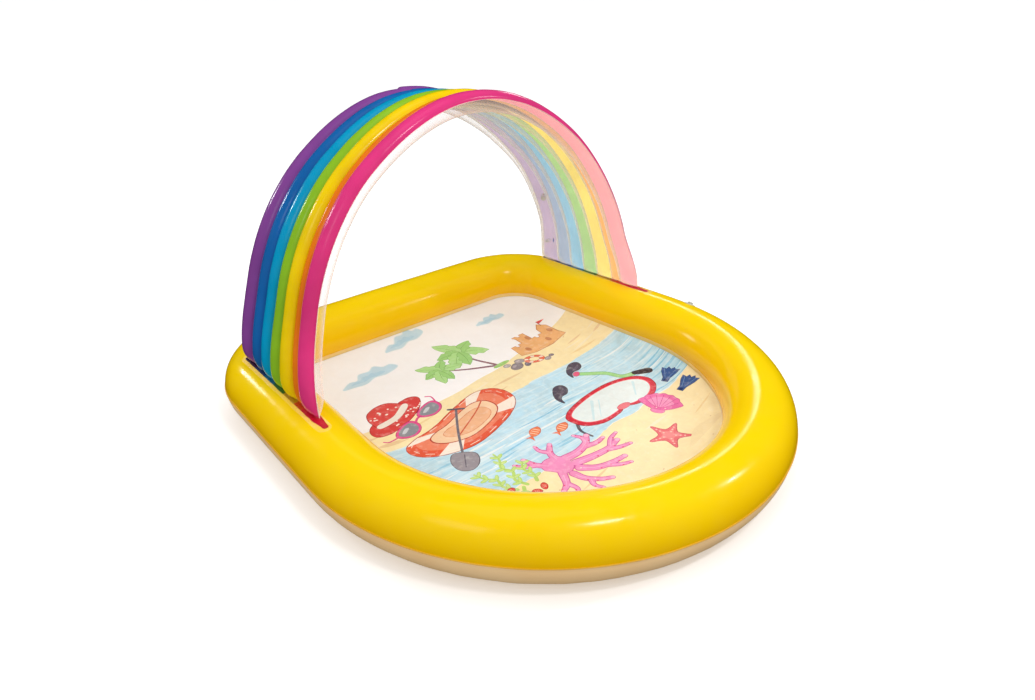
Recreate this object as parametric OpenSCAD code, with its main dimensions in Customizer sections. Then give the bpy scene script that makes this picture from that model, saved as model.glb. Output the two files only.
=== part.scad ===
// Inflatable paddling pool with a seven-band arch.
// Frame: +Z up, X across, -Y at the round front, +Y at the straight back wall.
// Origin: centre of the pool's outline, on the ground.

/* [Ring] */
// Half of the pool's width, the radius of the round front
front_r = 670; // [640:5:700]
// Y of the centre of the round front
front_y = -52; // [-70:1:-40]
// Radius of the two back corners, outside
corner_r = 300; // [290:5:320]
// X of the two back corner centres
corner_x = 346; // [330:1:360]
// Y of the two back corner centres
corner_y = 422; // [400:1:440]
// Radius of the air tube
tube_r = 90; // [85:1:95]
// Height of the air tube's centre above the ground
tube_z = 86; // [82:1:90]
// Thickness of the ring's skin
ring_skin = 3; // [2:0.5:4]
// Height of the seam on the outer side
outer_seam_z = 88; // [80:0.5:95]
// Height of the seam on the inner side, where the floor is welded
inner_seam_z = 55; // [50:1:60]

/* [Floor] */
// Thickness of the floor sheet
floor_t = 2.5; // [2:0.5:4]
// Height of the underside of the flat middle
floor_z = 12; // [8:1:20]
// Width of the sloping rim of the floor, seen from above
floor_slope_w = 115; // [100:1:118]

/* [Arch] */
// Half-width of the arch, at the middle of its thickness
arch_half_w = 558; // [550:1:565]
// Height of the arch's feet
foot_z = 160; // [155:1:165]
// Height of the straight lower part of each leg
leg_straight = 40; // [40:1:50]
// Offset of the side arcs' centres past the middle
arch_side_off = 73; // [60:1:90]
// Angle taken by each side arc
arch_side_a = 44; // [40:1:48]
// Y of the middle of the seven bands at the feet
arch_y = 291; // [285:1:295]
// Backward lean of the arch in degrees
arch_lean = 5.6; // [4:0.1:7]
// Width of the first and last band
band_end_w = 60; // [56:1:62]
// Width of the five bands between
band_w = 50; // [46:1:50]
// Width of the flat weld between two bands
weld_w = 3; // [2:0.5:4]
// Thickness of the arch's skins
arch_skin = 2; // [1.5:0.5:3]

/* [Feet] */
// Length of the clear tab under each foot
tab_l = 436; // [430:1:450]
// Width of the clear tab under each foot
tab_w = 44; // [40:1:50]
// Length of the coloured weld on each tab
weld_l = 416; // [410:1:425]
// Width of the coloured weld on each tab
weld_strip_w = 26; // [20:1:34]

/* [Valves] */
// Place of the ring's valve round the front arc, from the +X direction
ring_valve_p = -4; // [-20:1:-3]
// Angle of the ring's valve above the horizontal
ring_valve_a = 62; // [40:1:70]
// Angle of the arch's valve up the right leg
arch_valve_up = 20; // [12:1:30]
// Angle of the arch's valve round its tube, towards the rear
arch_valve_a = 35; // [25:1:45]
// Outside radius of the valve stem
stem_r = 7; // [6.5:0.1:7.2]
// Inside radius of the valve stem
stem_bore_r = 4.5; // [4:0.1:4.8]

/* [Hose inlet] */
// Angle of the hose inlet up the right leg
inlet_up = 5; // [4:1:7]
// Radius of the hose thread in the swivel nut
hose_r = 12.1; // [11.8:0.1:12.4]

/* [Hidden] */
$fn = 96;

// ---- plan of the ring: a round front, two tapering sides, two round back corners
path_front = front_r - tube_r;
path_corner = corner_r - tube_r;
centre_d = sqrt(corner_x * corner_x + (corner_y - front_y) * (corner_y - front_y));
side_a = atan2(corner_y - front_y, corner_x) - acos((front_r - corner_r) / centre_d);
side_x0 = path_front * cos(side_a);
side_y0 = front_y + path_front * sin(side_a);
side_l = sqrt(centre_d * centre_d - (front_r - corner_r) * (front_r - corner_r));

// A section drawn in X (outwards from the tube's centre line) and Y (up) runs round the plan.
// The stretches meet with a joint of about 0.02 mm.
joint = 0.02;
joint_a = 0.003;
front_n = 8;
front_a = (180 + 2 * side_a) / front_n;
module side_right() {
    translate([side_x0, side_y0, 0]) rotate([0, 0, side_a])
        translate([0, side_l - joint, 0]) rotate([90, 0, 0]) linear_extrude(side_l - 2 * joint) children();
}
module corner_right() {
    translate([corner_x, corner_y, 0]) rotate([0, 0, side_a])
        rotate_extrude(angle = 90 - side_a) translate([path_corner, 0]) children();
}
module ring_sweep() {
    for (i = [0 : front_n - 1])
        translate([0, front_y, 0]) rotate([0, 0, 180 - side_a + i * front_a + (i > 0 ? joint_a : 0)])
            rotate_extrude(angle = front_a - (i > 0 ? joint_a : 0)) translate([path_front, 0]) children();
    side_right() children();
    corner_right() children();
    mirror([1, 0, 0]) side_right() children();
    mirror([1, 0, 0]) corner_right() children();
    translate([corner_x, corner_y + path_corner, 0]) rotate([0, 0, 90])
        translate([0, 2 * corner_x - joint, 0]) rotate([90, 0, 0]) linear_extrude(2 * corner_x - 2 * joint) children();
}

// ---- sections of the ring
seam_out = sqrt(tube_r * tube_r - (tube_z - outer_seam_z) * (tube_z - outer_seam_z));
seam_in = -sqrt(tube_r * tube_r - (tube_z - inner_seam_z) * (tube_z - inner_seam_z));
module below_seams() {
    polygon([
        [seam_in * 1.5, inner_seam_z + (inner_seam_z - outer_seam_z) * 0.25],
        [seam_out * 1.5, outer_seam_z - (inner_seam_z - outer_seam_z) * 0.25],
        [seam_out * 1.5, -60], [seam_in * 1.5, -60]
    ]);
}
module upper_section() {
    difference() {
        translate([0, tube_z]) circle(tube_r);
        translate([0, tube_z]) circle(tube_r - ring_skin);
        below_seams();
    }
}
module base_section() {
    intersection() {
        difference() {
            translate([0, tube_z]) circle(tube_r);
            translate([-100, -100]) square([200, 100]);
            difference() {
                translate([0, tube_z]) circle(tube_r - ring_skin);
                translate([-100, -100]) square([200, 100 + ring_skin]);
            }
        }
        below_seams();
    }
}
module tube_section(r) {
    translate([0, tube_z]) circle(r);
}
module shell_section(r0, r1, a0, a1) {
    intersection() {
        difference() {
            translate([0, tube_z]) circle(r1);
            translate([0, tube_z]) circle(r0);
        }
        translate([0, tube_z]) polygon([[0, 0], [140 * cos(a0), 140 * sin(a0)],
            [150 * cos((a0 + a1) / 2), 150 * sin((a0 + a1) / 2)], [140 * cos(a1), 140 * sin(a1)]]);
    }
}

// ---- valves: Z runs out of the skin, 0 on its surface
module at_ring_valve() {
    translate([0, front_y, tube_z]) rotate([0, 0, ring_valve_p]) translate([path_front, 0, 0])
        rotate([0, 90 - ring_valve_a, 0]) translate([0, 0, tube_r]) children();
}
module at_arch_valve() {
    arch_frame() translate([-arch_side_off, 0, leg_straight])
        rotate([0, -arch_valve_up, 0]) translate([arch_half_w + arch_side_off, purple_y, 0])
        rotate([0, 90, 0]) rotate([-arch_valve_a, 0, 0]) translate([0, 0, end_r]) children();
}
collar_r = 9.5;
module valve_hole() {
    translate([0, 0, -12]) cylinder(r = collar_r + 0.1, h = 18);
}
module valve_collar() {
    translate([0, 0, -5]) cylinder(r = collar_r, h = 7.6);
}
module valve_bore() {
    translate([0, 0, -20]) cylinder(r = stem_r + 0.05, h = 40);
}
module valve_stem() {
    difference() {
        union() {
            translate([0, 0, -20]) cylinder(r = stem_r, h = 24.4);
            translate([0, 0, -20]) cylinder(r = stem_r + 1.6, h = 1.4);
            translate([0, 0, 3]) cylinder(r = stem_r + 1.8, h = 1.4);
        }
        translate([0, 0, -21]) cylinder(r = stem_bore_r, h = 27);
    }
}
module valve_flap() {
    translate([0, 0, -21.4]) cylinder(r = 6, h = 1);
    translate([-7, -2, -21.4]) cube([4, 4, 1]);
    // bead of the film hinge
    translate([-7, 2, -20.9]) rotate([90, 0, 0]) cylinder(r = 0.5, h = 4);
}
module valve_plug() {
    translate([0, 0, -4]) cylinder(r = stem_bore_r - 0.05, h = 9.5);
    translate([0, 0, -5]) cylinder(r1 = stem_bore_r - 1, r2 = stem_bore_r - 0.05, h = 1);
    translate([0, 0, 4.8]) cylinder(r = 7.5, h = 1.6);
    translate([0, 0, 6.4]) cylinder(r1 = 7.5, r2 = 5.6, h = 1.1);
    translate([-11.5, -2.5, 4.8]) cube([5, 5, 1.4]);
}
module valve_strap() {
    translate([0, 1.75, 0]) rotate([90, 0, 0]) linear_extrude(3.5)
        polygon([[7.3, 5.2], [11.6, 5.2], [11.6, 4.1], [9.2, 4.1], [9.2, 3.1], [12.6, 3.1], [12.6, 6.2], [7.3, 6.2]]);
}

// ---- arch: sections are drawn in X (outwards from the middle of the sheet) and Y (towards the front)
side_n = 2;
crown_n = 5;
crown_a = (180 - 2 * arch_side_a) / crown_n;
side_r = arch_half_w + arch_side_off;
crown_r = side_r - arch_side_off / cos(arch_side_a);
crown_z = leg_straight + arch_side_off * tan(arch_side_a);
end_r = (band_end_w - weld_w) / 2;
mid_r = (band_w - weld_w) / 2;
front_edge = arch_y - (2 * band_end_w + 5 * band_w) / 2;
rear_edge = arch_y + (2 * band_end_w + 5 * band_w) / 2;
function edge_y(i) = i == 0 ? front_edge : front_edge + band_end_w + (i - 1) * band_w;
purple_y = rear_edge - band_end_w / 2;
pink_y = front_edge + band_end_w / 2;
function band_y(i) = i == 0 ? pink_y : (i == 6 ? purple_y : front_edge + band_end_w + (i - 0.5) * band_w);
function band_r(i) = (i == 0 || i == 6) ? end_r : mid_r;
spray_r = 4;
spray_y = rear_edge + weld_w / 2 + spray_r;

module arch_frame() {
    translate([0, arch_y, foot_z]) rotate([-arch_lean, 0, 0]) translate([0, -arch_y, 0]) children();
}
module arch_leg() {
    difference() {
        arch_frame() translate([arch_half_w, 0, -30]) linear_extrude(30 + leg_straight - joint) mirror([0, 1, 0]) children();
        translate([side_x0, side_y0, tube_z]) rotate([0, 0, side_a]) translate([0, side_l + 120, 0])
            rotate([90, 0, 0]) cylinder(r = tube_r + 3.1, h = side_l + 120);
    }
}
module arch_side() {
    for (i = [0 : side_n - 1])
        translate([-arch_side_off, 0, leg_straight]) rotate([90, 0, 0]) rotate([0, 0, i * arch_side_a / side_n + (i > 0 ? 0.002 : 0)])
            rotate_extrude(angle = arch_side_a / side_n - (i > 0 ? 0.002 : 0)) translate([side_r, 0]) children();
}
module arch_sweep() {
    arch_leg() children();
    mirror([1, 0, 0]) arch_leg() children();
    arch_frame() {
        arch_side() children();
        mirror([1, 0, 0]) arch_side() children();
        for (i = [0 : crown_n - 1])
            translate([0, 0, crown_z]) rotate([90, 0, 0]) rotate([0, 0, arch_side_a + i * crown_a + 0.002])
                rotate_extrude(angle = crown_a - 0.004) translate([crown_r, 0]) children();
    }
}
module half_ring(r, t, y, inner) {
    translate([0, -y]) intersection() {
        difference() {
            circle(r);
            circle(r - t);
        }
        translate([inner ? -2 * r : 0, -2 * r]) square([2 * r, 4 * r]);
    }
}
module band(i) {
    arch_sweep() half_ring(band_r(i), arch_skin, band_y(i), false);
}
module flat_strip(y0, y1, t) {
    translate([-t / 2, -y1]) square([t, y1 - y0]);
}

// ---- feet: a clear tab and a coloured weld lie on the ring under each leg
module foot_plan(l, w) {
    translate([arch_half_w + 3, arch_y - 2, 0]) rotate([0, 0, side_a]) linear_extrude(300) {
        square([w, l - w], center = true);
        translate([0, (l - w) / 2]) circle(w / 2);
        translate([0, -(l - w) / 2]) circle(w / 2);
    }
}
module foot_layer(l, w, r0, r1) {
    intersection() {
        union() {
            side_right() shell_section(r0, r1, 55, 125);
            corner_right() shell_section(r0, r1, 55, 125);
        }
        foot_plan(l, w);
    }
}

// ---- hose inlet: Z runs out of the spray channel
module at_inlet() {
    arch_frame() translate([-arch_side_off, 0, leg_straight])
        rotate([0, -inlet_up, 0]) translate([side_r, spray_y, 0]) rotate([0, 90, 0]) children();
}

module ring_upper_skin() {
    color("gold") difference() {
        ring_sweep() upper_section();
        at_ring_valve() valve_hole();
    }
}
module ring_base_skin() {
    color("wheat") ring_sweep() base_section();
}
module outer_seam_lip() {
    seam_a = -asin((tube_z - outer_seam_z) / tube_r);
    color("khaki") ring_sweep() translate([0, tube_z]) rotate([0, 0, seam_a])
        translate([tube_r, -1]) square([2, 2]);
}
module floor_weld_lip() {
    color("antiquewhite") ring_sweep() shell_section(tube_r, tube_r + 1.5, 193, 203);
}
module floor_sheet() {
    rim_x = -sqrt((tube_r + 1.5) * (tube_r + 1.5) - (tube_z - 53) * (tube_z - 53)) - 0.05;
    low_x = rim_x - floor_slope_w;
    inset = tube_r - low_x + joint;
    color("lightblue") {
        ring_sweep() polygon([[rim_x, 53 - floor_t], [rim_x, 53], [low_x, floor_z + floor_t], [low_x, floor_z]]);
        translate([0, 0, floor_z]) linear_extrude(floor_t) {
            translate([0, front_y]) circle(front_r - inset);
            for (s = [-1, 1]) translate([s * corner_x, corner_y]) circle(corner_r - inset);
            polygon([
                for (s = [1, -1]) [s * (front_r - inset) * cos(side_a), front_y + (front_r - inset) * sin(side_a)],
                [-corner_x - (corner_r - inset) * cos(side_a), corner_y + (corner_r - inset) * sin(side_a)],
                [-corner_x, corner_y + corner_r - inset], [corner_x, corner_y + corner_r - inset],
                [corner_x + (corner_r - inset) * cos(side_a), corner_y + (corner_r - inset) * sin(side_a)]
            ]);
        }
    }
}
module band_pink() { color("hotpink") band(0); }
module band_orange() { color("darkorange") band(1); }
module band_yellow() { color("yellow") band(2); }
module band_green() { color("yellowgreen") band(3); }
module band_cyan() { color("deepskyblue") band(4); }
module band_blue() { color("royalblue") band(5); }
module band_purple() {
    color("rebeccapurple") difference() {
        band(6);
        at_arch_valve() valve_hole();
    }
}
module arch_inner_skin() {
    color("aliceblue") arch_sweep() for (i = [0 : 6]) half_ring(band_r(i), arch_skin, band_y(i), true);
}
module arch_weld_ribs() {
    color("lavender") arch_sweep()
        for (i = [1 : 7]) flat_strip(edge_y(i) + (i == 7 ? band_end_w - band_w : 0) - weld_w / 2,
            edge_y(i) + (i == 7 ? band_end_w - band_w : 0) + weld_w / 2, 2);
}
module edge_strip_front() {
    color("aliceblue") arch_sweep() flat_strip(front_edge - 3, front_edge + weld_w / 2, 2);
}
module edge_strip_rear() {
    color("aliceblue") arch_sweep() flat_strip(spray_y + spray_r, spray_y + spray_r + 2.5, 2);
}
module foot_tab_right() { color("aliceblue") foot_layer(tab_l, tab_w, tube_r, tube_r + 1.2); }
module foot_tab_left() { color("aliceblue") mirror([1, 0, 0]) foot_layer(tab_l, tab_w, tube_r, tube_r + 1.2); }
module foot_weld_right() { color("firebrick") foot_layer(weld_l, weld_strip_w, tube_r + 1.2, tube_r + 2.5); }
module foot_weld_left() { color("firebrick") mirror([1, 0, 0]) foot_layer(weld_l, weld_strip_w, tube_r + 1.2, tube_r + 2.5); }
module spray_channel() {
    color("lightcyan") difference() {
        arch_sweep() translate([0, -spray_y]) difference() {
            circle(spray_r);
            circle(spray_r - 1.2);
        }
        at_inlet() cylinder(r = 2.4, h = 20);
    }
}
module spray_nozzles() {
    color("white") arch_frame() translate([0, 0, crown_z]) for (a = [-40 : 10 : 40])
        rotate([0, a, 0]) translate([0, spray_y, crown_r - spray_r - 2]) difference() {
            cylinder(r = 2.2, h = 3.4);
            translate([0, 0, -1]) cylinder(r = 0.6, h = 6);
        }
}
module hose_inlet() {
    color("whitesmoke") difference() {
        at_inlet() difference() {
            union() {
                translate([0, 0, 2]) cylinder(r = 4.4, h = 30);
                translate([0, 0, 8]) cylinder(r = 6.5, h = 23);
                translate([0, 0, 30]) cylinder(r = 9.5, h = 2);
            }
            translate([0, 0, -1]) cylinder(r = 2.4, h = 40);
        }
        arch_frame() translate([-arch_side_off, 0, leg_straight]) rotate([90, 0, 0])
            rotate_extrude(angle = arch_side_a) translate([side_r, -spray_y]) circle(spray_r);
    }
}
module hose_nut() {
    color("royalblue") at_inlet() difference() {
        union() {
            translate([0, 0, 26]) cylinder(r = 15, h = 20);
            for (i = [0 : 11]) rotate([0, 0, 30 * i]) translate([14.4, -1.2, 27]) cube([1.6, 2.4, 18]);
        }
        translate([0, 0, 25]) cylinder(r = 6.8, h = 10);
        // washer's seat, then the thread
        translate([0, 0, 29.6]) cylinder(r = hose_r + 0.6, h = 5.3);
        translate([0, 0, 34]) cylinder(r = hose_r, h = 15);
    }
}
module hose_washer() {
    color("black") at_inlet() translate([0, 0, 32.3]) difference() {
        cylinder(r = hose_r + 0.5, h = 2.5);
        translate([0, 0, -1]) cylinder(r = 6, h = 5);
    }
}
module ring_valve_flange() {
    color("gold") difference() {
        union() {
            intersection() {
                translate([0, front_y, 0]) rotate([0, 0, ring_valve_p - 3]) rotate_extrude(angle = 6)
                    translate([path_front, 0]) shell_section(tube_r, tube_r + 1.4, ring_valve_a - 30, ring_valve_a + 30);
                at_ring_valve() translate([0, 0, -20]) cylinder(r = 17, h = 40);
            }
            at_ring_valve() valve_collar();
        }
        at_ring_valve() valve_bore();
    }
}
module ring_valve_stem() { color("whitesmoke") at_ring_valve() valve_stem(); }
module ring_valve_flap() { color("whitesmoke") at_ring_valve() valve_flap(); }
module ring_valve_plug() { color("whitesmoke") at_ring_valve() valve_plug(); }
module ring_valve_strap() { color("whitesmoke") at_ring_valve() valve_strap(); }
module arch_valve_flange() {
    color("rebeccapurple") difference() {
        union() {
            intersection() {
                arch_frame() translate([-arch_side_off, 0, leg_straight]) rotate([90, 0, 0])
                    rotate_extrude(angle = arch_side_a) translate([side_r, -purple_y]) difference() {
                        circle(end_r + 1.2);
                        circle(end_r);
                    }
                at_arch_valve() translate([0, 0, -16]) cylinder(r = 14, h = 30);
            }
            at_arch_valve() valve_collar();
        }
        at_arch_valve() valve_bore();
    }
}
module arch_valve_stem() { color("whitesmoke") at_arch_valve() valve_stem(); }
module arch_valve_flap() { color("whitesmoke") at_arch_valve() valve_flap(); }
module arch_valve_plug() { color("whitesmoke") at_arch_valve() valve_plug(); }
module arch_valve_strap() { color("whitesmoke") at_arch_valve() valve_strap(); }

ring_upper_skin();
ring_base_skin();
outer_seam_lip();
floor_sheet();
floor_weld_lip();
band_purple();
band_blue();
band_cyan();
band_green();
band_yellow();
band_orange();
band_pink();
arch_inner_skin();
arch_weld_ribs();
edge_strip_front();
edge_strip_rear();
foot_tab_left();
foot_tab_right();
foot_weld_left();
foot_weld_right();
spray_channel();
spray_nozzles();
hose_inlet();
hose_nut();
hose_washer();
ring_valve_flange();
ring_valve_stem();
ring_valve_flap();
ring_valve_plug();
ring_valve_strap();
arch_valve_flange();
arch_valve_stem();
arch_valve_flap();
arch_valve_plug();
arch_valve_strap();
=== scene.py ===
import math

import bpy
import numpy as np
from mathutils import Matrix, Vector
from mathutils.geometry import delaunay_2d_cdt


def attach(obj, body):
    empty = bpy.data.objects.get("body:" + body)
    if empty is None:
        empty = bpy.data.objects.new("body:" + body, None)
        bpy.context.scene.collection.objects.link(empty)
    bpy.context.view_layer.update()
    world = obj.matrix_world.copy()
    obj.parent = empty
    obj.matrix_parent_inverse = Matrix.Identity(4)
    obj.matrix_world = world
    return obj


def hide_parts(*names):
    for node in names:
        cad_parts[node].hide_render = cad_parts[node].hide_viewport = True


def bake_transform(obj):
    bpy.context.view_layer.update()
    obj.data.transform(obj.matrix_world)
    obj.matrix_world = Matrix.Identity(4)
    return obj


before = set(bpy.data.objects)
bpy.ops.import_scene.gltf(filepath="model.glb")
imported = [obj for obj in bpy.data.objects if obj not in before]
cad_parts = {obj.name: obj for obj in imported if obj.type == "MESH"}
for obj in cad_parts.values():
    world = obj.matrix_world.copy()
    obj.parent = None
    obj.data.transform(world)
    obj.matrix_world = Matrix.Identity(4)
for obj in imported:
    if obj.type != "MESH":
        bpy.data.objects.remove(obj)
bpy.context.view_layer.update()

scene = bpy.context.scene
rad = math.radians

# ------------------------------------------------------------------ noise
_rng = np.random.default_rng(20)
_grad = _rng.normal(size=(32, 32, 32, 3))
_grad /= np.linalg.norm(_grad, axis=-1, keepdims=True)


def noise(p, scale=1.0, shift=0.0):
    """Gradient noise, about -0.7 to 0.7."""
    p = np.asarray(p, float) * scale + shift
    i = np.floor(p).astype(int)
    f = p - i
    w = f * f * f * (f * (f * 6 - 15) + 10)
    out = 0
    for dx in (0, 1):
        for dy in (0, 1):
            for dz in (0, 1):
                g = _grad[(i[..., 0] + dx) % 32, (i[..., 1] + dy) % 32, (i[..., 2] + dz) % 32]
                v = (g * (f - np.array([dx, dy, dz]))).sum(-1)
                out = out + v * (w[..., 0] if dx else 1 - w[..., 0]) \
                    * (w[..., 1] if dy else 1 - w[..., 1]) * (w[..., 2] if dz else 1 - w[..., 2])
    return out


def noise1(s, scale, seed):
    s = np.asarray(s, float)
    return noise(np.stack([s * scale, np.full_like(s, seed * 3.37 + 0.31), np.full_like(s, seed * 1.71 + 0.73)], -1))


def step(x, a, b):
    t = np.clip((np.asarray(x, float) - a) / (b - a), 0, 1)
    return t * t * (3 - 2 * t)


# ------------------------------------------------------------------ materials
def lin(rgb):
    c = np.asarray(rgb, float) / 255
    return tuple(np.where(c <= 0.04045, c / 12.92, ((c + 0.055) / 1.055) ** 2.4)) + (1.0,)


class Nodes:
    def __init__(self, name):
        self.mat = bpy.data.materials.new(name)
        self.mat.use_nodes = True
        self.t = self.mat.node_tree
        self.bsdf = self.t.nodes["Principled BSDF"]
        self.coord = self.t.nodes.new("ShaderNodeTexCoord").outputs["Object"]

    def new(self, kind, **kw):
        n = self.t.nodes.new(kind)
        for k, v in kw.items():
            setattr(n, k, v)
        return n

    def link(self, a, b):
        self.t.links.new(a, b)

    def noise(self, scale, detail=2.0, rough=0.5, stretch=None, distortion=0.0):
        n = self.new("ShaderNodeTexNoise")
        n.inputs["Scale"].default_value = scale
        n.inputs["Detail"].default_value = detail
        n.inputs["Roughness"].default_value = rough
        n.inputs["Distortion"].default_value = distortion
        if stretch:
            m = self.new("ShaderNodeMapping")
            m.inputs["Scale"].default_value = stretch
            self.link(self.coord, m.inputs["Vector"])
            self.link(m.outputs["Vector"], n.inputs["Vector"])
        else:
            self.link(self.coord, n.inputs["Vector"])
        return n.outputs["Fac"]

    def span(self, fac, a, b, lo=0.3, hi=0.7):
        n = self.new("ShaderNodeMapRange")
        n.inputs["From Min"].default_value = lo
        n.inputs["From Max"].default_value = hi
        n.inputs["To Min"].default_value = a
        n.inputs["To Max"].default_value = b
        self.link(fac, n.inputs["Value"])
        return n.outputs["Result"]

    def mix(self, fac, a, b, kind="MIX"):
        n = self.new("ShaderNodeMix", data_type="RGBA", blend_type=kind)
        for sock, v in ((n.inputs["Factor"], fac), (n.inputs["A"], a), (n.inputs["B"], b)):
            if sock.name in ("A", "B"):
                sock = next(s for s in n.inputs if s.name == sock.name and s.type == "RGBA")
            if hasattr(v, "links"):
                self.link(v, sock)
            else:
                sock.default_value = v
        return next(s for s in n.outputs if s.type == "RGBA")

    def bump(self, parts):
        last = None
        for height, strength, distance in parts:
            b = self.new("ShaderNodeBump")
            b.inputs["Strength"].default_value = strength
            b.inputs["Distance"].default_value = distance
            self.link(height, b.inputs["Height"])
            if last:
                self.link(last, b.inputs["Normal"])
            last = b.outputs["Normal"]
        self.link(last, self.bsdf.inputs["Normal"])


def vinyl(name, rgb, rgb2=None, rough=0.27, spec=0.32, grain=0.05, ripple=0.12, patch=7.0, coat=0.0, painted_low_shade=None, painted_glow=0.0):
    """Printed or dyed film: faint cloudy colour, fine grain, soft ripples in the gloss."""
    n = Nodes(name)
    c = np.asarray(rgb, float)
    c2 = np.asarray(rgb2, float) if rgb2 is not None else np.clip(c * 0.93, 0, 255)
    cloud = n.span(n.noise(patch, 3.0, 0.55), 0.0, 1.0, 0.32, 0.68)
    col = n.mix(cloud, lin(c), lin(c2))
    speck = n.span(n.noise(900, 1.0), 0.0, 0.10, 0.35, 0.75)
    col = n.mix(speck, col, lin(np.clip(c * 0.8, 0, 255)))
    if painted_low_shade:    # painted shade: low down the colour turns deeper and more orange, as the ring's lower side gets less light
        sep_z = n.new("ShaderNodeSeparateXYZ")
        n.link(n.coord, sep_z.inputs[0])
        col = n.mix(n.span(sep_z.outputs["Z"], 0.0, 1.0, painted_low_shade[1], painted_low_shade[2]), lin(painted_low_shade[0]), col)
    n.link(col, n.bsdf.inputs["Base Color"])
    if painted_glow:    # painted light: an even emission in the film's own colour stands in for daylight coming through the thin film
        n.link(col, n.bsdf.inputs["Emission Color"])
        n.bsdf.inputs["Emission Strength"].default_value = painted_glow
    n.link(n.span(n.noise(32, 3.0), rough - 0.05, rough + 0.06), n.bsdf.inputs["Roughness"])
    n.bsdf.inputs["Specular IOR Level"].default_value = spec
    n.bsdf.inputs["Coat Weight"].default_value = coat
    n.bsdf.inputs["Coat Roughness"].default_value = 0.12
    n.bump([(n.noise(1400, 2.0), grain, 0.0002), (n.noise(38, 2.0, 0.5), ripple, 0.0016)])
    return n.mat


def clear_vinyl(name, rgb, low=0.10, high=0.55, rough=0.16, power=2.2, painted_glow=0.34):
    """Clear film: nearly invisible face on, milky at its edges and folds."""
    n = Nodes(name)
    cloud = n.span(n.noise(16, 3.0), 0.0, 1.0)
    col = n.mix(cloud, lin(rgb), lin(np.asarray(rgb) * 0.96))
    n.link(col, n.bsdf.inputs["Base Color"])
    n.link(col, n.bsdf.inputs["Emission Color"])       # painted light: an even emission stands in for daylight held in the thin film
    n.bsdf.inputs["Emission Strength"].default_value = painted_glow
    lw = n.new("ShaderNodeLayerWeight")
    lw.inputs["Blend"].default_value = 0.5
    p = n.new("ShaderNodeMath", operation="POWER")
    n.link(lw.outputs["Facing"], p.inputs[0])
    p.inputs[1].default_value = power
    haze = n.span(n.noise(22, 4.0, 0.6), 0.9, 1.15)
    a = n.span(p.outputs[0], low, high, 0.0, 1.0)
    m = n.new("ShaderNodeMath", operation="MULTIPLY", use_clamp=True)
    n.link(a, m.inputs[0])
    n.link(haze, m.inputs[1])
    n.link(m.outputs[0], n.bsdf.inputs["Alpha"])
    n.link(n.span(n.noise(45, 2.0), rough - 0.04, rough + 0.08), n.bsdf.inputs["Roughness"])
    n.bsdf.inputs["Specular IOR Level"].default_value = 0.55
    n.bump([(n.noise(30, 3.0), 0.22, 0.002), (n.noise(1400, 2.0), 0.04, 0.0002)])
    return n.mat


def moulded(name, rgb, rough=0.36, spec=0.45, alpha=None, grain=0.12):
    n = Nodes(name)
    c = np.asarray(rgb, float)
    cloud = n.span(n.noise(120, 3.0), 0.0, 1.0)
    col = n.mix(cloud, lin(c), lin(np.clip(c * 0.92, 0, 255)))
    n.link(col, n.bsdf.inputs["Base Color"])
    n.link(n.span(n.noise(260, 2.0), rough - 0.06, rough + 0.08), n.bsdf.inputs["Roughness"])
    n.bsdf.inputs["Specular IOR Level"].default_value = spec
    if alpha is not None:
        n.link(n.span(n.noise(90, 2.0), alpha - 0.04, alpha + 0.06), n.bsdf.inputs["Alpha"])
    n.bump([(n.noise(2200, 2.0), grain, 0.0002), (n.noise(160, 2.0), 0.1, 0.0006)])
    return n.mat


BANDS = ["pink", "orange", "yellow", "green", "cyan", "blue", "purple"]  # front to rear
OUTER = {
    "purple": (139, 72, 156), "blue": (22, 104, 178), "cyan": (0, 160, 207), "green": (146, 200, 40),
    "yellow": (255, 219, 0), "orange": (245, 128, 20), "pink": (236, 58, 133),
}
PALE = {
    "purple": (206, 190, 214), "blue": (176, 192, 214), "cyan": (160, 206, 228), "green": (186, 222, 160),
    "yellow": (248, 232, 140), "orange": (252, 196, 124), "pink": (250, 180, 188),
}
DARK = {
    "purple": (52, 14, 60), "blue": (16, 50, 104), "cyan": (0, 98, 134), "green": (52, 104, 26),
    "yellow": (186, 140, 10), "orange": (196, 60, 14), "pink": (206, 14, 44),
}
M = {}
# painted shade: the ring's colour turns deeper and more orange below z 0.165
M["ring"] = vinyl("ring_vinyl", (254, 217, 0), (253, 211, 0), rough=0.17, spec=0.26, grain=0.02, ripple=0.03, patch=3.5, painted_low_shade=((250, 192, 0), 0.075, 0.165))
# the cream base carries a little painted light as emission
M["base"] = vinyl("base_vinyl", (252, 214, 160), (248, 206, 148), rough=0.34, spec=0.25, ripple=0.05, painted_glow=0.10)
M["seam"] = vinyl("seam_vinyl", (236, 190, 74), (230, 180, 60), rough=0.36, spec=0.2, ripple=0.2)
M["floor_lip"] = vinyl("floor_weld_vinyl", (252, 222, 150), (250, 210, 124), rough=0.34, spec=0.2, ripple=0.2)
for b in BANDS:
    M[b] = vinyl(b + "_vinyl", OUTER[b], rough=0.19, spec=0.32, grain=0.03, ripple=0.05, patch=9.0)
    # the bands' inner faces carry painted light as emission
    M[b + "_pale"] = vinyl(b + "_vinyl_inside", PALE[b], rough=0.30, spec=0.2, ripple=0.06, patch=9.0, painted_glow=0.44)
    M[b + "_dark"] = vinyl(b + "_weld_vinyl", DARK[b], rough=0.32, spec=0.4, ripple=0.5, patch=40.0)
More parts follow.
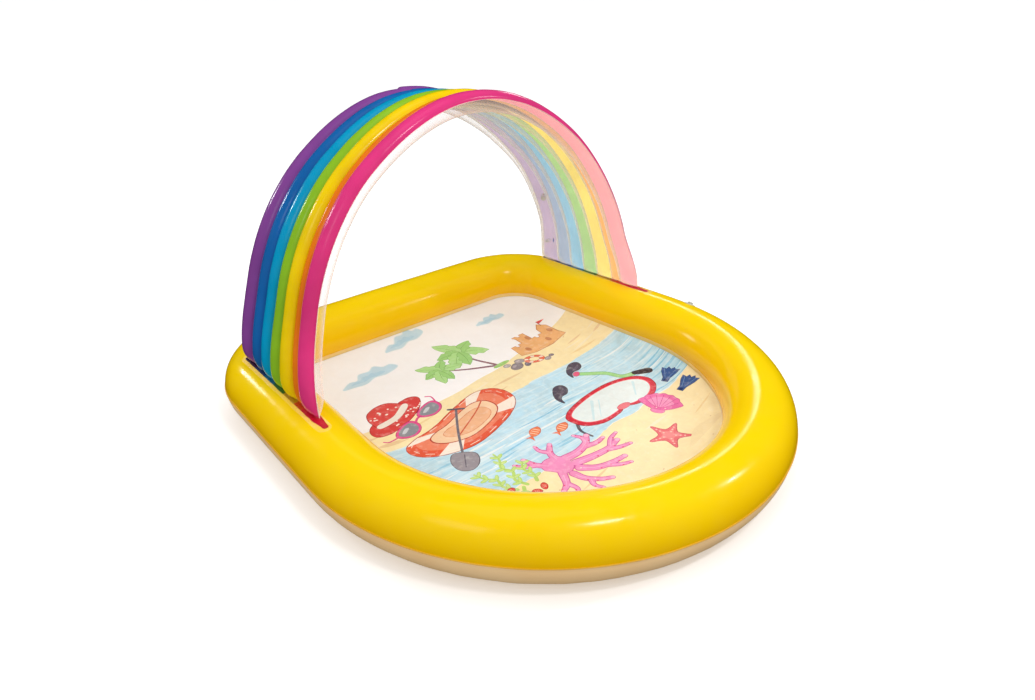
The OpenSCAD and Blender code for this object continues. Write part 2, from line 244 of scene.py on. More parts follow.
# the clear film carries painted light as emission
M["clear"] = clear_vinyl("clear_vinyl", (240, 236, 228), low=0.04, high=0.62, power=2.0, painted_glow=0.20)
M["clear_flat"] = clear_vinyl("clear_weld_vinyl", (244, 238, 224), low=0.22, high=0.6, rough=0.20)
M["clear_rib"] = clear_vinyl("clear_rib_vinyl", (240, 228, 222), low=0.20, high=0.42, rough=0.18)
M["clear_tab"] = clear_vinyl("clear_tab_vinyl", (250, 226, 158), low=0.13, high=0.42, rough=0.2)
M["valve"] = moulded("valve_vinyl", (236, 234, 222), rough=0.22, spec=0.5, alpha=0.78)
M["fitting"] = moulded("fitting_plastic", (238, 238, 236), rough=0.34)
M["nut"] = moulded("nut_plastic", (26, 92, 176), rough=0.4)
M["rubber"] = moulded("washer_rubber", (28, 28, 30), rough=0.62, spec=0.3, grain=0.25)


# ------------------------------------------------------------------ mesh helpers
def volume(v, quads):
    a, b, c = v[quads[:, 0]], v[quads[:, 1]], v[quads[:, 2]]
    out = np.einsum("ij,ij->i", a, np.cross(b, c)).sum()
    if quads.shape[1] == 4:
        d = v[quads[:, 3]]
        out += np.einsum("ij,ij->i", a, np.cross(c, d)).sum()
    return out / 6


def build(name, verts, faces, mats, index=None, smooth=42.0):
    """A mesh object whose faces, one array of quads or triangles, point outwards."""
    verts = np.asarray(verts, float)
    faces = np.asarray(faces)
    if volume(verts, faces) < 0:
        faces = faces[:, ::-1]
    me = bpy.data.meshes.new(name)
    me.from_pydata(verts.tolist(), [], faces.tolist())
    for m in mats:
        me.materials.append(m)
    if index is not None:
        me.polygons.foreach_set("material_index", np.asarray(index, np.int32))
    me.polygons.foreach_set("use_smooth", np.ones(len(me.polygons), bool))
    me.update()
    me.set_sharp_from_angle(angle=rad(smooth))
    ob = bpy.data.objects.new(name, me)
    scene.collection.objects.link(ob)
    return ob


def grid(n, m, off, wrap):
    i = np.arange(n if wrap else n - 1)
    j = np.arange(m - 1)
    I, J = np.meshgrid(i, j, indexing="ij")
    K = (I + 1) % n
    return np.stack([off + I * m + J, off + K * m + J, off + K * m + J + 1, off + I * m + J + 1], -1).reshape(-1, 4)


def shell(P, Q, wrap=False):
    """A closed sheet between grids P and Q. Also gives 0, 1 or 2 for each face: on P, on Q, or on the rim."""
    n, m, _ = P.shape
    off = n * m
    top, low = grid(n, m, 0, wrap), grid(n, m, off, wrap)[:, ::-1]
    i = np.arange(n if wrap else n - 1)
    k = (i + 1) % n
    rims = [np.stack([i * m, off + i * m, off + k * m, k * m], -1),
            np.stack([i * m + m - 1, k * m + m - 1, off + k * m + m - 1, off + i * m + m - 1], -1)]
    if not wrap:
        j = np.arange(m - 1)
        e = (n - 1) * m
        rims += [np.stack([j, j + 1, off + j + 1, off + j], -1),
                 np.stack([e + j, off + e + j, off + e + j + 1, e + j + 1], -1)]
    rim = np.concatenate(rims)
    kind = np.concatenate([np.zeros(len(top)), np.ones(len(low)), np.full(len(rim), 2)]).astype(int)
    return np.concatenate([P.reshape(-1, 3), Q.reshape(-1, 3)]), np.concatenate([top, low, rim]), kind


def normals(P, wrap=False):
    a = (np.roll(P, -1, 0) - np.roll(P, 1, 0)) if wrap else np.gradient(P, axis=0)
    b = np.gradient(P, axis=1)
    n = np.cross(a, b)
    return n / np.maximum(np.linalg.norm(n, axis=-1, keepdims=True), 1e-12)


def settle(ob, body, slot, *nodes):
    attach(ob, body)
    if nodes:
        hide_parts(*nodes)
    return ob


# ------------------------------------------------------------------ plan of the ring
FRONT_Y, PATH_R = -0.052, 0.580
CX, CY, CORNER_R = 0.346, 0.422, 0.210
TUBE_R, TUBE_Z = 0.090, 0.086
_cd = math.hypot(CX, CY - FRONT_Y)
SIDE_A = math.atan2(CY - FRONT_Y, CX) - math.acos((PATH_R - CORNER_R) / _cd)
SIDE_L = math.sqrt(_cd ** 2 - (PATH_R - CORNER_R) ** 2)


def ring_plan(spacing, rho=0.0):
    """Points round the plan, rho outside the tube's centre line: position, normal, length along, share of corner."""
    pos, nor, corner, dens = [], [], [], []

    def straight(a, b, nx, ny):
        n = max(2, round(math.dist(a, b) / spacing))
        t = np.arange(n)[:, None] / n
        pos.append(np.array(a) * (1 - t) + np.array(b) * t)
        nor.append(np.tile([nx, ny], (n, 1)))
        corner.append(np.zeros(n))

    def arc(cx, cy, r, a0, a1, mark):
        n = max(2, round(abs(a1 - a0) * r / spacing))
        t = a0 + (a1 - a0) * np.arange(n) / n
        d = np.stack([np.cos(t), np.sin(t)], -1)
        pos.append(np.array([cx, cy]) + d * r)
        nor.append(d)
        corner.append(np.full(n, mark))

    c, s = math.cos(SIDE_A), math.sin(SIDE_A)
    r0 = np.array([PATH_R * c, FRONT_Y + PATH_R * s])
    r1 = r0 + SIDE_L * np.array([-s, c])
    straight(r0, r1, c, s)
    arc(CX, CY, CORNER_R, SIDE_A, math.pi / 2, 1.0)
    straight((CX, CY + CORNER_R), (-CX, CY + CORNER_R), 0, 1)
    arc(-CX, CY, CORNER_R, math.pi / 2, math.pi - SIDE_A, 1.0)
    straight(r1 * [-1, 1], r0 * [-1, 1], -c, s)
    arc(0, FRONT_Y, PATH_R, math.pi - SIDE_A, 2 * math.pi + SIDE_A, 0.3)
    pos, nor, corner = np.concatenate(pos), np.concatenate(nor), np.concatenate(corner)
    seg = np.linalg.norm(np.roll(pos, -1, 0) - pos, axis=1)
    s = np.concatenate([[0], np.cumsum(seg)[:-1]])
    for _ in range(60):  # the corner marks fade into the straights
        corner = (np.roll(corner, 1) + corner + np.roll(corner, -1)) / 3
    return pos + nor * rho, nor, s, corner, seg.sum()


def around(s, total, waves, seed):
    """Noise along a closed path that meets itself: waves to the metre."""
    r = waves * total / (2 * math.pi)
    a = s / total * 2 * math.pi
    return noise(np.stack([np.cos(a) * r, np.sin(a) * r, np.full_like(a, seed * 2.13 + 0.4)], -1))


# ------------------------------------------------------------------ the ring's skins
pos, nor, s, corner, total = ring_plan(0.0056)
SEAM = 1.3
th = np.radians(np.linspace(SEAM, 200.1, 44))


def tube_point(theta, r):
    """Grid over the ring: theta is 1-D, r is a grid."""
    x = pos[:, None, 0] + nor[:, None, 0] * r * np.cos(theta)[None]
    y = pos[:, None, 1] + nor[:, None, 1] * r * np.cos(theta)[None]
    z = TUBE_Z + r * np.sin(theta)[None]
    return np.stack([x, y, z], -1)


deg = np.degrees(th)[None]
pucker_in = around(s, total, 46, 1)[:, None] + 0.6 * around(s, total, 90, 2)[:, None]
pucker_out = around(s, total, 40, 3)[:, None] + 0.6 * around(s, total, 84, 4)[:, None]
slow = around(s, total, 5, 5)[:, None] * 0.0011 * np.sin(np.radians(deg * 1.3)) + around(s, total, 9, 6)[:, None] * 0.0006
amp_in = (0.12 + 0.88 * corner)[:, None] * (0.0030 * step(deg, 150, 196) * (1 - 0.5 * step(deg, 196, 201)))
amp_out = 0.0005 * (1 - step(deg, SEAM, 22))
R_up = TUBE_R + slow + pucker_in * amp_in + pucker_out * amp_out
R_up = R_up - 0.0012 * step(deg, 190, 200.1) - 0.0007 * (1 - step(deg, SEAM, SEAM + 6))
R_up = np.minimum(R_up, 0.0915)
P = tube_point(th, R_up)
verts, quads, kind = shell(P, tube_point(th, R_up - 0.0011), wrap=True)
ring = settle(build("ring_upper", verts, quads, [M["ring"]]), "pool", "ring_vinyl", "ring_upper_skin")

tb = np.radians(np.linspace(SEAM, -159.9, 36))
db = np.degrees(tb)[None]
wob = around(s, total, 26, 7)[:, None] * 0.0010 + around(s, total, 60, 8)[:, None] * 0.0005
R_b = TUBE_R - 0.0007 * (1 - step(-db, -SEAM, 6)) - 0.0002 + wob * step(-db, 6, 50) * (1 - step(-db, 140, 160)) + pucker_out * 0.0006 * (1 - step(-db, -SEAM, 24))


def base_grid(r):
    g = tube_point(tb, r)
    low = 0.0006    # rests on the ground over a soft-edged strip
    z = g[..., 2]
    k = 0.004
    g[..., 2] = low + k * np.log1p(np.exp((z - low) / k)) - k * math.log(2) * np.exp(-np.abs(z - low) / 0.006) * (z > -0.02)
    g[..., 2] = np.maximum(g[..., 2], low)
    return g


Pb = base_grid(R_b)
Qb = base_grid(R_b - 0.0012)
Qb[..., 2] = np.maximum(Qb[..., 2], Pb[..., 2] + 0.0008 * step(-db, 60, 80) * (1 - step(-db, 120, 135)))
verts, quads, kind = shell(Pb, Qb, wrap=True)
base = settle(build("ring_base", verts, quads, [M["base"]]), "pool", "base_vinyl", "ring_base_skin")

# outer low seam: the two skins' pressed edge, a little wavy
w = np.linspace(0, 1, 5)
wave = around(s, total, 30, 9)[:, None] * 0.0006
reach = 0.0017 + around(s, total, 12, 10)[:, None] * 0.0003
a_out = math.radians(SEAM)
r_l = TUBE_R - 0.0016 + (reach + 0.0016) * w[None]
lx, lz = math.cos(a_out), math.sin(a_out)


def lip_grid(shift):
    g = np.zeros((len(pos), 5, 3))
    d = r_l * lx - (wave * w[None] + shift) * lz
    g[..., 0] = pos[:, None, 0] + nor[:, None, 0] * d
    g[..., 1] = pos[:, None, 1] + nor[:, None, 1] * d
    g[..., 2] = TUBE_Z + r_l * lz + (wave * w[None] + shift) * lx
    return g


rib = 0.0002 * np.array([0, 1, -0.5, 1, 0])[None]
verts, quads, kind = shell(lip_grid(0.0006 + rib), lip_grid(-0.0006 - rib), wrap=True)
lip = settle(build("outer_seam", verts, quads, [M["seam"]]), "pool", "seam_vinyl", "outer_seam_lip")

# the floor's welded margin on the ring's inner side
ti = np.radians(np.linspace(193.0, 203.0, 9))
di = np.degrees(ti)[None]
emb = 0.00016 * np.sin(s[:, None] * 2 * math.pi / 0.0045 + di * 40) * step(di, 193.4, 195) * (1 - step(di, 200, 202))
top_edge = around(s, total, 22, 11)[:, None]


def weld_grid(r):
    r = np.broadcast_to(r, (len(pos), len(ti)))
    g = tube_point(ti, r)
    return g


R_w = TUBE_R + pucker_in * (0.12 + 0.88 * corner)[:, None] * 0.0018 * (1 - step(di, 200, 203)) + 0.0002
verts, quads, kind = shell(weld_grid(np.minimum(R_w + 0.0009 + emb + top_edge * 0.0002, 0.0922)), weld_grid(R_w - 0.0003), wrap=True)
weld = settle(build("floor_weld", verts, quads, [M["floor_lip"]]), "pool", "seam_vinyl", "floor_weld_lip")


# ------------------------------------------------------------------ the printed floor
def smooth_closed(pts, per=8):
    p = np.asarray(pts, float)
    n = len(p)
    out = []
    for i in range(n):
        a, b, c, d = p[i - 1], p[i], p[(i + 1) % n], p[(i + 2) % n]
        for t in np.arange(per) / per:
            out.append(0.5 * (2 * b + (c - a) * t + (2 * a - 5 * b + 4 * c - d) * t * t + (3 * b - a - 3 * c + d) * t ** 3))
    return np.array(out)


def smooth_open(pts, per=8):
    p = np.asarray(pts, float)
    p = np.concatenate([[2 * p[0] - p[1]], p, [2 * p[-1] - p[-2]]])
    out = []
    for i in range(1, len(p) - 2):
        a, b, c, d = p[i - 1:i + 3]
        for t in np.arange(per) / per:
            out.append(0.5 * (2 * b + (c - a) * t + (2 * a - 5 * b + 4 * c - d) * t * t + (3 * b - a - 3 * c + d) * t ** 3))
    out.append(p[-2])
    return np.array(out)


def grow(pts, d):
    """Moves a closed outline outwards by d."""
    p = np.asarray(pts, float)
    t = np.roll(p, -1, 0) - np.roll(p, 1, 0)
    n = np.stack([t[:, 1], -t[:, 0]], -1)
    n /= np.maximum(np.linalg.norm(n, axis=1, keepdims=True), 1e-9)
    area = np.sum(p[:, 0] * np.roll(p[:, 1], -1) - np.roll(p[:, 0], -1) * p[:, 1])
    return p + n * d * (1 if area > 0 else -1)


def turn(pts, a, at=(0, 0), scale=1.0):
    a = rad(a)
    r = np.array([[math.cos(a), -math.sin(a)], [math.sin(a), math.cos(a)]])
    return np.asarray(pts, float) @ r.T * scale + np.array(at)


INKS = []   # (outline, colour, wash), the later lies over the earlier


def ink(pts, rgb, wash=0.5):
    INKS.append((np.asarray(pts, float), rgb, wash))


def blob(pts, rgb, line=None, width=0.0022, wash=0.5, per=8):
    o = smooth_closed(pts, per)
    if line is not None:
        j = noise(np.stack([o[:, 0] * 40, o[:, 1] * 40, np.full(len(o), 0.3)], -1))
        ink(grow(o, width * (1 + 0.7 * j)[:, None]), line, wash)
    ink(o, rgb, wash)
    return o


def oval(x, y, rx, ry, a=0, n=36):
    t = np.arange(n) * 2 * math.pi / n
    return turn(np.stack([rx * np.cos(t), ry * np.sin(t)], -1), a, (x, y))


def stroke(pts, width, rgb, wash=0.5, taper=(1, 1), smooth=True, per=6):
    p = smooth_open(pts, per) if smooth and len(pts) > 2 else np.asarray(pts, float)
    t = np.gradient(p, axis=0)
    t /= np.maximum(np.linalg.norm(t, axis=1, keepdims=True), 1e-9)
    n = np.stack([-t[:, 1], t[:, 0]], -1)
    k = np.linspace(0, 1, len(p))
    w = width / 2 * (taper[0] * (1 - k) + taper[1] * k)
    ends = []
    for sgn, q, tt, nn, ww in ((1, p[-1], t[-1], n[-1], w[-1]), (-1, p[0], -t[0], -n[0], w[0])):
        ang = np.linspace(0, math.pi, 6)[1:-1]
        ends.append(q + nn * (np.cos(ang) * ww)[:, None] + tt * (np.sin(ang) * ww)[:, None])
    ink(np.concatenate([p + n * w[:, None], ends[0], (p - n * w[:, None])[::-1], ends[1]]), rgb, wash)


# shore and sky, front to back; wash 1 is sea
SKY, SAND, SEA = (254, 253, 255), (254, 236, 186), (194, 231, 248)


def sand_edge(x):
    return 0.170 + 0.10 * step(x, -0.25, 0.5) + 0.05 * step(x, 0.2, 0.6) + 0.010 * noise1(x, 9, 1) - 0.02 * (1 - step(x, -0.6, -0.3))


def sea_edge(x):
    return 0.050 + 0.045 * step(x, -0.45, 0.6) + 0.014 * noise1(x, 12, 2) + 0.004 * noise1(x, 60, 3)


def front_edge_y(x):
    return -0.262 + 0.046 * step(x, -0.2, 0.5) + 0.018 * noise1(x, 9, 4) + 0.005 * noise1(x, 50, 5)


xs = np.linspace(-0.7, 0.7, 240)
ink([(-0.7, -0.8), (0.7, -0.8), (0.7, 0.8), (-0.7, 0.8)], SKY, 0.25)
ink(np.concatenate([np.stack([xs, sand_edge(xs)], -1), [(0.7, -0.8), (-0.7, -0.8)]]), SAND, 0.6)
ink(np.concatenate([np.stack([xs, sea_edge(xs)], -1), np.stack([xs, front_edge_y(xs)], -1)[::-1]]), SEA, 1.0)
r2 = np.random.default_rng(5)
for edge, d, col in ((sea_edge, 0.0, (244, 248, 246)), (sea_edge, -0.022, (205, 232, 240)), (front_edge_y, 0.0, (246, 246, 236)),
                     (front_edge_y, 0.020, (208, 234, 241))):
    x0 = -0.62
    while x0 < 0.6:     # broken foam lines along both shores
        ln = r2.uniform(0.05, 0.16)
        xx = np.linspace(x0, x0 + ln, 9)
        stroke(np.stack([xx, edge(xx) + d + 0.004 * noise1(xx, 30, d * 90 + 7)], -1), r2.uniform(0.004, 0.009), col, 0.4, (0.3, 0.3), smooth=False)
        x0 += ln + r2.uniform(0.01, 0.05)
for _ in range(70):     # long brush strokes in the sea
    x0, y0 = r2.uniform(-0.55, 0.50), r2.uniform(-0.215, 0.035)
    ln, wd = r2.uniform(0.06, 0.24), r2.uniform(0.003, 0.0085)
    col = ((240, 249, 252), (160, 213, 237), (212, 238, 246), (146, 205, 233))[r2.integers(4)]
    xx = np.linspace(x0, x0 + ln, 9)
    y = y0 + 0.004 * np.sin((xx - x0) * 16 + x0 * 30) + 0.045 * (xx - x0) * 0.5
    o = np.concatenate([np.stack([xx, y + wd / 2 * np.sin(np.linspace(0, math.pi, 9))], -1),
                        np.stack([xx, y - wd / 2 * np.sin(np.linspace(0, math.pi, 9))], -1)[::-1][1:-1]])
    ink(o, col, 0.7)
for _ in range(26):     # strokes in the sand
    x0 = r2.uniform(-0.5, 0.45)
    back = r2.random() < 0.45
    y0 = (sea_edge(np.array(x0)) + r2.uniform(0.02, 0.10)) if back else (front_edge_y(np.array(x0)) - r2.uniform(0.03, 0.22))
    ln, wd = r2.uniform(0.04, 0.13), r2.uniform(0.005, 0.012)
    xx = np.linspace(x0, x0 + ln, 9)
    y = y0 + (xx - x0) * r2.uniform(-0.1, 0.25)
    col = ((246, 219, 160), (254, 240, 206), (240, 210, 160))[r2.integers(3)]
    o = np.concatenate([np.stack([xx, y + wd / 2 * np.sin(np.linspace(0, math.pi, 9))], -1),
                        np.stack([xx, y - wd / 2 * np.sin(np.linspace(0, math.pi, 9))], -1)[::-1][1:-1]])
    ink(o, col, 0.6)

# clouds
for cx, cy, k, a in ((-0.245, 0.422, 1.0, 4), (-0.055, 0.520, 0.82, 8), (0.270, 0.472, 0.62, 0)):
    pts = turn([(-0.10, -0.014), (-0.066, 0.006), (-0.040, 0.002), (-0.018, 0.024), (0.016, 0.020), (0.040, 0.032), (0.062, 0.014),
                (0.088, 0.012), (0.098, -0.010), (0.050, -0.022), (0.010, -0.016), (-0.030, -0.028), (-0.070, -0.020)], a, (cx, cy), k)
    blob(pts, (200, 228, 244), (222, 238, 246), 0.003, 0.4)
    blob((pts - (cx, cy)) * [0.62, 0.45] + (cx - 0.008, cy - 0.004), (184, 220, 240), wash=0.5)

# palms: a thin trunk and scalloped fronds
for base_p, bend, top, size, turn0 in (((0.092, 0.226), (0.060, 0.300), (0.052, 0.362), 0.088, 10), ((0.086, 0.224), (0.010, 0.262), (-0.062, 0.312), 0.070, 28)):
    stroke([base_p, bend, top], 0.0085, (150, 106, 120), 0.6, (1.25, 0.7))
    tr = smooth_open([base_p, bend, top], 7)
    for i in range(2, len(tr) - 1, 2):
        d = tr[i + 1] - tr[i - 1]
        d = np.array([-d[1], d[0]]) / np.linalg.norm(d)
        stroke([tr[i] - d * 0.0034, tr[i] + d * 0.0034], 0.0014, (110, 74, 92), 0.4, smooth=False)
    for f, ang in enumerate((-20, 38, 92, 148, 200, 262)):
        ang += turn0
        c = np.linspace(0, 1, 8)
        droop = -0.30 * c ** 2 * (1 if math.cos(rad(ang)) > 0 else -1)
        mid = np.stack([c, droop], -1)
        wd = 0.24 * np.sin(np.pi * np.clip(c * 0.92 + 0.08, 0, 1)) ** 0.7
        up, dn = mid + np.stack([0 * c, wd], -1), mid - np.stack([0 * c, wd * (1 + 0.35 * (np.arange(8) % 2))], -1)
        leaf = turn(np.concatenate([up, dn[::-1]]) * size * (0.9 if f % 2 else 1.05), ang, top)
        blob(leaf, ((182, 228, 150), (166, 218, 134))[f % 2], (124, 188, 98), 0.0016, 0.5, 4)
        stroke(turn(mid * size * 0.86, ang, top), 0.0018, (104, 168, 80), 0.4, (1, 0.4))
blob(oval(0.105, 0.219, 0.034, 0.009, 6, 10), (166, 212, 122), None, 0, 0.7, 4)

# sandcastle
wall = [(0.215, 0.215), (0.222, 0.268), (0.236, 0.268), (0.238, 0.258), (0.250, 0.258), (0.252, 0.270), (0.266, 0.270), (0.268, 0.300), (0.262, 0.312),
        (0.276, 0.312), (0.278, 0.304), (0.290, 0.304), (0.292, 0.314), (0.306, 0.314), (0.306, 0.272), (0.320, 0.272), (0.322, 0.262), (0.334, 0.262),
        (0.336, 0.274), (0.352, 0.274), (0.356, 0.300), (0.374, 0.322), (0.392, 0.300), (0.392, 0.250), (0.400, 0.222), (0.330, 0.206), (0.260, 0.204)]
wall = turn(np.array(wall) - (0.30, 0.255), 0, (0.285, 0.262), 1.1)
j = 0.0022 * noise(np.stack([wall[:, 0] * 60, wall[:, 1] * 60, np.full(len(wall), 2.2)], -1))[:, None]
ink(grow(wall, 0.003 + j), (206, 138, 92), 0.6)
ink(wall, (243, 186, 128), 0.8)
for q in ((0.236, 0.236), (0.285, 0.292), (0.330, 0.240), (0.374, 0.280)):
    blob(oval(q[0], q[1], 0.009, 0.013, 0, 8), (208, 138, 92), None, 0, 0.7, 4)
for i in range(9):
    x = 0.20 + 0.021 * i
    stroke([(x, 0.214 + 0.004 * math.sin(i * 2.1)), (x + 0.014, 0.215 + 0.004 * math.cos(i * 1.7))], 0.0022, (222, 156, 106), 0.5, (1, 0.3), smooth=False)
stroke([(0.374, 0.322), (0.378, 0.352)], 0.0026, (150, 106, 90), 0.3, smooth=False)
ink([(0.379, 0.352), (0.410, 0.344), (0.376, 0.334)], (228, 84, 84), 0.6)

# pebbles and a small swim ring beside the castle
for x, y, r, a, c in ((0.132, 0.176, 0.024, 20, (150, 140, 146)), (0.160, 0.196, 0.017, -10, (176, 166, 170)), (0.168, 0.166, 0.013, 40, (130, 120, 130)),
                      (0.110, 0.198, 0.012, 0, (190, 180, 182)), (0.240, 0.150, 0.012, 15, (168, 158, 162)), (0.262, 0.158, 0.008, 0, (140, 130, 138))):
    blob(oval(x, y, r, r * 0.68, a, 9), c, tuple(int(v * 0.72) for v in c), 0.0016, 0.8, 4)
    blob(oval(x - r * 0.25, y + r * 0.2, r * 0.4, r * 0.2, a, 8), tuple(min(255, v + 34) for v in c), None, 0, 0.6, 3)
o = oval(0.205, 0.176, 0.034, 0.022, -14, 40)
ink(grow(o, 0.0018), (190, 70, 44), 0.5)
ink(o, (240, 116, 84), 0.7)
for i in range(0, 40, 8):
    q = np.array([0.205, 0.176])
    ink(np.concatenate([o[i:i + 4], (q + (o[i:i + 4] - q) * 0.55)[::-1]]), (252, 232, 214), 0.5)
ink(grow(q + (o - q) * 0.55, 0.0012), (190, 70, 44), 0.5)
ink(q + (o - q) * 0.52, SAND, 0.6)

# sun hat with dots, and sunglasses
hat_c = np.array([-0.312, 0.196])
blob(turn([(-0.112, -0.022), (-0.070, -0.046), (0.0, -0.052), (0.076, -0.040), (0.116, -0.010), (0.090, 0.018), (0.0, 0.026), (-0.086, 0.014)], 24, hat_c),
     (222, 70, 70), (164, 34, 44), 0.002, 0.8)
blob(turn([(-0.064, -0.008), (-0.058, 0.034), (-0.030, 0.062), (0.010, 0.068), (0.046, 0.054), (0.064, 0.022), (0.066, -0.004), (0.0, -0.020)], 24, hat_c),
     (228, 80, 78), (164, 34, 44), 0.002, 0.8)
blob(turn([(-0.066, -0.010), (-0.062, 0.008), (0.0, -0.002), (0.064, 0.010), (0.067, -0.008), (0.0, -0.022)], 24, hat_c), (246, 236, 226), (186, 60, 60), 0.001, 0.5)
for i in range(26):
    u_, v_ = (r2.uniform(-0.05, 0.05), r2.uniform(0.016, 0.056)) if i < 12 else (r2.uniform(-0.09, 0.095), r2.uniform(-0.038, -0.022))
    blob(turn(oval(u_, v_, 0.0036, 0.0030, 0, 8), 24, hat_c), (253, 234, 226), None, 0, 0.3, 3)
for lx_, ly_, a in ((-0.318, 0.108, 30), (-0.214, 0.158, 26)):
    o = blob(turn([(-0.044, 0.014), (-0.020, 0.026), (0.020, 0.026), (0.044, 0.016), (0.040, -0.010), (0.018, -0.026), (-0.014, -0.026), (-0.038, -0.008)], a, (lx_, ly_)),
             (232, 84, 150), (168, 40, 100), 0.0014, 0.6)
    q = o.mean(0)
    ink(q + (o - q) * 0.80, (146, 150, 160), 0.8)
    blob(turn([(-0.022, 0.010), (0.002, 0.014), (0.010, 0.006), (-0.016, 0.002)], a, (lx_, ly_)), (208, 212, 218), None, 0, 0.5, 5)
stroke([(-0.282, 0.130), (-0.266, 0.144), (-0.252, 0.146)], 0.0070, (224, 72, 140), 0.5)
stroke([(-0.360, 0.096), (-0.392, 0.090), (-0.404, 0.098)], 0.0046, (224, 72, 140), 0.5)
stroke([(-0.176, 0.184), (-0.172, 0.212), (-0.184, 0.222)], 0.0046, (224, 72, 140), 0.5)

# dinghy, seen from above, with its paddle
hull = np.array([(-0.376, 0.036), (-0.330, 0.062), (-0.258, 0.078), (-0.160, 0.118), (-0.076, 0.142), (-0.020, 0.132), (0.006, 0.094), (0.000, 0.042), (-0.052, -0.004),
                 (-0.140, -0.040), (-0.230, -0.058), (-0.320, -0.040), (-0.372, -0.004)])
o = blob(hull, (236, 96, 66), (176, 50, 34), 0.0022, 0.8)
q = np.array([-0.178, 0.038])
blob(q + (hull - q) * 0.84 + (0, 0.004), (244, 138, 106), None, 0, 0.8)
for i, (t0, t1) in enumerate(((0.02, 0.10), (0.28, 0.36), (0.52, 0.61), (0.80, 0.87))):
    k0, k1 = int(t0 * len(o)), int(t1 * len(o))
    ink(np.concatenate([o[k0:k1], (q + (o[k0:k1] - q) * 0.62)[::-1]]), (254, 240, 226), 0.5)
ink(grow(q + (o - q) * 0.62, 0.0020), (186, 56, 38), 0.6)
ink(q + (o - q) * 0.61, (252, 214, 176), 0.7)
blob(q + (hull - q) * [0.44, 0.40] + (0.004, -0.004), (246, 190, 148), (222, 130, 92), 0.0016, 0.8)
stroke([(-0.236, 0.000), (-0.130, 0.060), (-0.080, 0.096)], 0.0070, (214, 96, 68), 0.5, (0.6, 0.6))
for i in range(16):     # rope of short dashes round the hull
    k0 = int(i / 16 * len(o))
    a_, b_ = q + (o[k0] - q) * 0.925, q + (o[(k0 + 3) % len(o)] - q) * 0.925
    stroke([a_, b_], 0.0024, (252, 226, 206), 0.3, smooth=False)
stroke([(-0.160, 0.110), (-0.223, 0.020), (-0.276, -0.066)], 0.0070, (118, 112, 122), 0.5)
blob(turn([(-0.030, 0.026), (0.0, 0.034), (0.030, 0.026), (0.034, -0.010), (0.016, -0.040), (-0.016, -0.040), (-0.034, -0.010)], -34, (-0.290, -0.094)),
     (158, 152, 160), (96, 90, 102), 0.002, 0.8)
stroke(turn([(0, 0.024), (0, -0.028)], -34, (-0.290, -0.094)), 0.0030, (112, 104, 116), 0.4, smooth=False)
stroke([(-0.178, 0.122), (-0.142, 0.098)], 0.0085, (96, 90, 102), 0.4, smooth=False)

# dive mask with a pale lens, strap and snorkel
stroke([(0.052, -0.150), (0.020, -0.196), (0.024, -0.236)], 0.011, (90, 84, 98), 0.6, (1, 0.6))
stroke([(0.236, 0.016), (0.262, -0.006), (0.300, -0.040), (0.322, -0.086), (0.372, -0.104)], 0.0190, (104, 170, 92), 0.5)
stroke([(0.236, 0.016), (0.262, -0.006), (0.300, -0.040), (0.322, -0.086), (0.372, -0.104)], 0.0150, (166, 220, 146), 0.7)
stroke([(0.362, -0.100), (0.398, -0.122)], 0.026, (62, 52, 60), 0.6, (0.8, 1.1), smooth=False)
blob(turn(oval(0, 0, 0.014, 0.009, 0, 10), 30, (0.232, 0.020)), (232, 92, 132), (170, 50, 92), 0.0012, 0.6, 4)
mask = np.array([(0.030, -0.142), (0.052, -0.116), (0.110, -0.096), (0.190, -0.082), (0.276, -0.084), (0.340, -0.108), (0.366, -0.146), (0.350, -0.188),
                 (0.300, -0.216), (0.236, -0.214), (0.200, -0.200), (0.160, -0.212), (0.096, -0.214), (0.046, -0.190)])
o = blob(mask, (214, 34, 62), (150, 16, 40), 0.0020, 0.6)
q = np.array([0.198, -0.148])
ink(q + (o - q) * [0.905, 0.85], (240, 92, 110), 0.5)
ink(q + (o - q) * [0.885, 0.81], (232, 243, 243), 0.7)
for a_, b_, w_ in (((0.085, -0.185), (0.150, -0.118), 0.011), ((0.112, -0.188), (0.170, -0.126), 0.004), ((0.270, -0.180), (0.318, -0.128), 0.009)):
    stroke([a_, b_], w_, (206, 232, 238), 0.5, (0.5, 0.9), smooth=False)
blob(oval(0.198, -0.196, 0.024, 0.011, 0, 10), (236, 120, 132), (196, 40, 66), 0.0012, 0.5, 4)

# two long mussels
for x, y, a, k in ((0.118, -0.020, 214, 1.0), (0.250, 0.052, 200, 0.92)):
    shape = turn([(-0.040, 0.000), (-0.026, 0.018), (0.000, 0.022), (0.022, 0.012), (0.040, 0.014), (0.056, 0.026), (0.046, 0.004), (0.022, -0.012), (-0.010, -0.020), (-0.032, -0.014)], a, (x, y), k)
    blob(shape, (84, 74, 92), (48, 40, 56), 0.0018, 0.8, 6)
    for f in (0.72, 0.5, 0.3):
        stroke(turn([(-0.034 * f - 0.004, 0.004), (-0.010, 0.018 * f), (0.022 * f + 0.004, 0.006)], a, (x, y), k), 0.0016, (132, 122, 142), 0.4, (0.6, 0.6))

